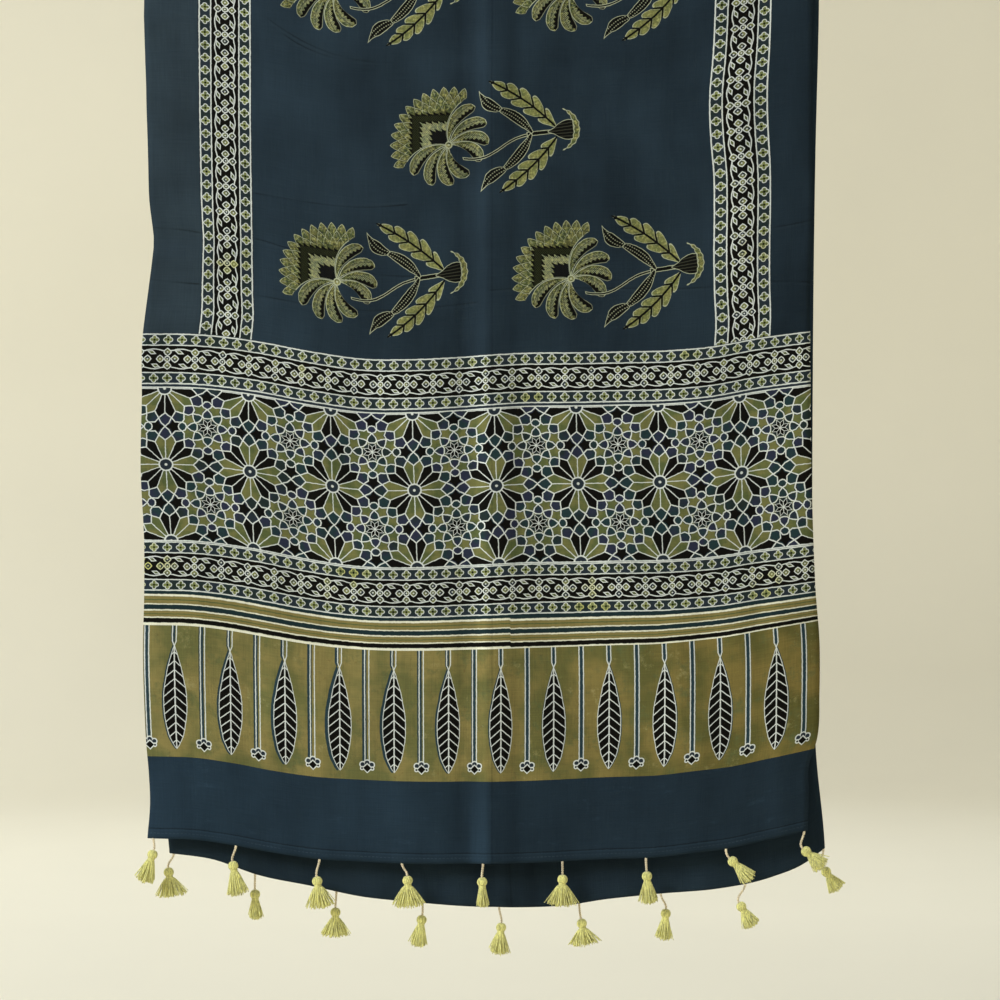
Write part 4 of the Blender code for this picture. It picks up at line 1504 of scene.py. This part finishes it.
class STOLE_OT_tassels(Operator):
    """Makes the eighteen tassels and their ties"""

    bl_idname = "stole.tassels"
    bl_label = "Tassels and ties"

    def execute(self, context):
        settings = context.scene.stole_tassels
        sage = yarn_material("sage_yarn_finish", settings.sage, 900.0)
        cream = yarn_material("cream_yarn_finish", settings.cream, 1400.0)
        rng = np.random.default_rng(18)
        front = ("front", FRONT_TASSELS, front_place, lambda across: FRONT_DROP)
        back = ("back", BACK_TASSELS, back_place, lambda across: float(back_drop(across)))
        for side, table, place, drop_of in (front, back):
            for number, tassel in enumerate(table, start=1):
                hem = hem_point(place, drop_of, tassel.across * MM)
                middle = hem + np.array([tassel.lean, 0, -tassel.tie]) * MM
                self.tassel(side, number, tassel, middle, settings, sage, rng)
                self.tie(side, number, tassel, hem, middle, settings, cream)
        return {"FINISHED"}

    def tassel(self, side, number, tassel, middle, settings, yarn, rng):
        """One tassel, swung in the X-Z plane about its head's middle."""
        lots = [skirt(tassel, settings, rng), *head(), ball(0.0034, 0.0034)]
        tilt = math.radians(tassel.swing)
        turn = np.array([
            [math.cos(tilt), 0, -math.sin(tilt)],
            [0, 1, 0],
            [math.sin(tilt), 0, math.cos(tilt)],
        ])
        lots = [(points @ turn.T + middle, quads, caps) for points, quads, caps in lots]
        yarn_piece(f"tassel_{side}_{number}", lots, yarn)

    def tie(self, side, number, tassel, hem, middle, settings, yarn):
        """Two plies twisted round a cubic curve from the hem to the crown of the head,
        with a small knot where they leave the hem."""
        tilt = math.radians(tassel.swing)
        crown = np.array([-math.sin(tilt), 0, math.cos(tilt)])
        bottom = middle + crown * 0.0036
        top = hem + np.array([0, 0, 0.0004])
        reach = np.linalg.norm(top - bottom) * 0.4
        controls = (top, top - np.array([0, 0, reach]), bottom + crown * reach, bottom)
        t = np.linspace(0, 1, 34)
        weights = [math.comb(3, k) * t**k * (1 - t) ** (3 - k) for k in range(4)]
        spine = sum(w[:, None] * c for w, c in zip(weights, controls))
        ahead = np.gradient(spine, axis=0)
        ahead /= np.linalg.norm(ahead, axis=1, keepdims=True)
        side_way = np.cross(ahead, [0.0, 1.0, 0.0])
        ply = settings.tie_radius * 0.52
        twist = 0.0042
        turns = np.linalg.norm(top - bottom) / twist
        lots = []
        for phase in (0.0, math.pi):
            angle = (2 * np.pi * turns * t + phase)[:, None]
            away = side_way * np.cos(angle) + np.array([0.0, 1.0, 0.0]) * np.sin(angle)
            path = (spine + away * ply)[None]
            lots.append(tubes(path, np.full(path.shape[:2], ply * 1.05), 6))
        points, quads, caps = ball(0.0011, 0.0009)
        lots.append((points + top - np.array([0, 0, 0.0012]), quads, caps))
        yarn_piece(f"tie_{side}_{number}", lots, yarn)


class STOLE_OT_studio(Operator):
    """Makes the plain pale backdrop, the soft lights and the camera"""

    bl_idname = "stole.studio"
    bl_label = "Studio"

    def execute(self, context):
        settings = context.scene.stole_studio
        scene = context.scene
        scene.view_settings.view_transform = "Standard"
        self.backdrop(settings)
        self.lights(scene, settings)
        self.camera(scene, settings)
        return {"FINISHED"}

    def backdrop(self, settings):
        """A round floor that curves up all round: a profile turned about the Z axis."""
        floor, radius, bend, height = -1.35, 5.0, 1.2, 4.0
        turn = np.linspace(0, np.pi / 2, 10)
        out = np.concatenate([[0.0, 1.8], radius - bend + bend * np.sin(turn), [radius]])
        up = np.concatenate([[0.0, 0.0], bend - bend * np.cos(turn), [height]]) + floor
        angle = np.linspace(0, 2 * np.pi, 65)[:, None]
        x = out * np.cos(angle)
        y = out * np.sin(angle)
        points = np.stack([x, y, up + 0 * x], axis=-1)
        faces = grid_faces(*points.shape[:2]).tolist()
        shade = Shade("pale_backdrop", roughness=0.95)
        place = shade.node("ShaderNodeTexCoord", out=3)
        base = (*settings.backdrop, 1.0)
        patch = shade.noise(place, 1.3, detail=3.0)
        colour = shade.mix(patch, lighter(base, 0.94), lighter(base, 1.05))
        shade.surface.inputs["Emission Color"].default_value = (*settings.backdrop, 1.0)
        shade.surface.inputs["Emission Strength"].default_value = 0.10
        made = new_piece("studio_backdrop", points, faces, [shade.finish(colour)])

    def lights(self, scene, settings):
        middle, behind = (0.0, 0.0, -0.55), (-1.2, 5.0, -0.4)
        cool = (0.84, 0.90, 1.0)
        lamps = (
            ("key_light", (-2.4, -2.0, 0.9), middle, settings.key, 1.5),
            ("fill_light", (2.6, -2.4, -0.1), middle, settings.key * 0.16, 2.4),
            ("back_light", (0.6, 3.0, 1.3), middle, settings.key * 0.45, 2.2),
            ("backdrop_light", (-3.2, 1.5, 0.8), behind, settings.key * 0.85, 1.8),
        )
        for name, place, target, power, size in lamps:
            lamp = bpy.data.lights.new(name, "AREA")
            lamp.shape = "DISK"
            lamp.size = size
            lamp.energy = power
            lamp.color = cool
            made = bpy.data.objects.new(name, lamp)
            made.location = place
            aim = Vector(target) - Vector(place)
            made.rotation_euler = aim.to_track_quat("-Z", "Y").to_euler()
            bpy.context.collection.objects.link(made)
        world = bpy.data.worlds.new("studio_air")
        world.use_nodes = True
        air = world.node_tree.nodes["Background"]
        air.inputs["Color"].default_value = (0.84, 0.90, 1.0, 1.0)
        air.inputs["Strength"].default_value = 0.28
        scene.world = world

    def camera(self, scene, settings):
        """Straight on, and as wide as the photograph at the front layer."""
        seen_width, sensor, front = 0.838, 36.0, -0.010
        lens = bpy.data.cameras.new("camera")
        lens.sensor_width = sensor
        lens.lens = sensor * settings.distance / seen_width
        lens.clip_start = 0.05
        lens.clip_end = 50.0
        camera = bpy.data.objects.new("camera", lens)
        camera.location = (0.0176, front - settings.distance, -0.6788)
        camera.rotation_euler = (math.pi / 2, 0.0, 0.0)
        bpy.context.collection.objects.link(camera)
        scene.camera = camera


class STOLE_PT_sidebar(Panel):
    """Lists the pieces and their settings"""

    bl_idname = "STOLE_PT_sidebar"
    bl_label = "Ajrakh stole"
    bl_space_type = "VIEW_3D"
    bl_region_type = "UI"
    bl_category = "Stole"

    def draw(self, context):
        scene = context.scene
        for operator, settings in (
            (STOLE_OT_studio, scene.stole_studio),
            (STOLE_OT_cloth, scene.stole_cloth),
            (STOLE_OT_tassels, scene.stole_tassels),
        ):
            box = self.layout.box()
            box.operator(operator.bl_idname)
            for name in type(settings).__annotations__:
                box.prop(settings, name)


CLASSES = (
    ClothSettings,
    TasselSettings,
    StudioSettings,
    STOLE_OT_studio,
    STOLE_OT_cloth,
    STOLE_OT_tassels,
    STOLE_PT_sidebar,
)


def register():
    for entry in CLASSES:
        bpy.utils.register_class(entry)
    bpy.types.Scene.stole_cloth = PointerProperty(type=ClothSettings)
    bpy.types.Scene.stole_tassels = PointerProperty(type=TasselSettings)
    bpy.types.Scene.stole_studio = PointerProperty(type=StudioSettings)


def unregister():
    del bpy.types.Scene.stole_studio
    del bpy.types.Scene.stole_tassels
    del bpy.types.Scene.stole_cloth
    for entry in reversed(CLASSES):
        bpy.utils.unregister_class(entry)


def main():
    register()
    bpy.ops.stole.studio()
    bpy.ops.stole.cloth()
    bpy.ops.stole.tassels()


if __name__ == "__main__":
    main()
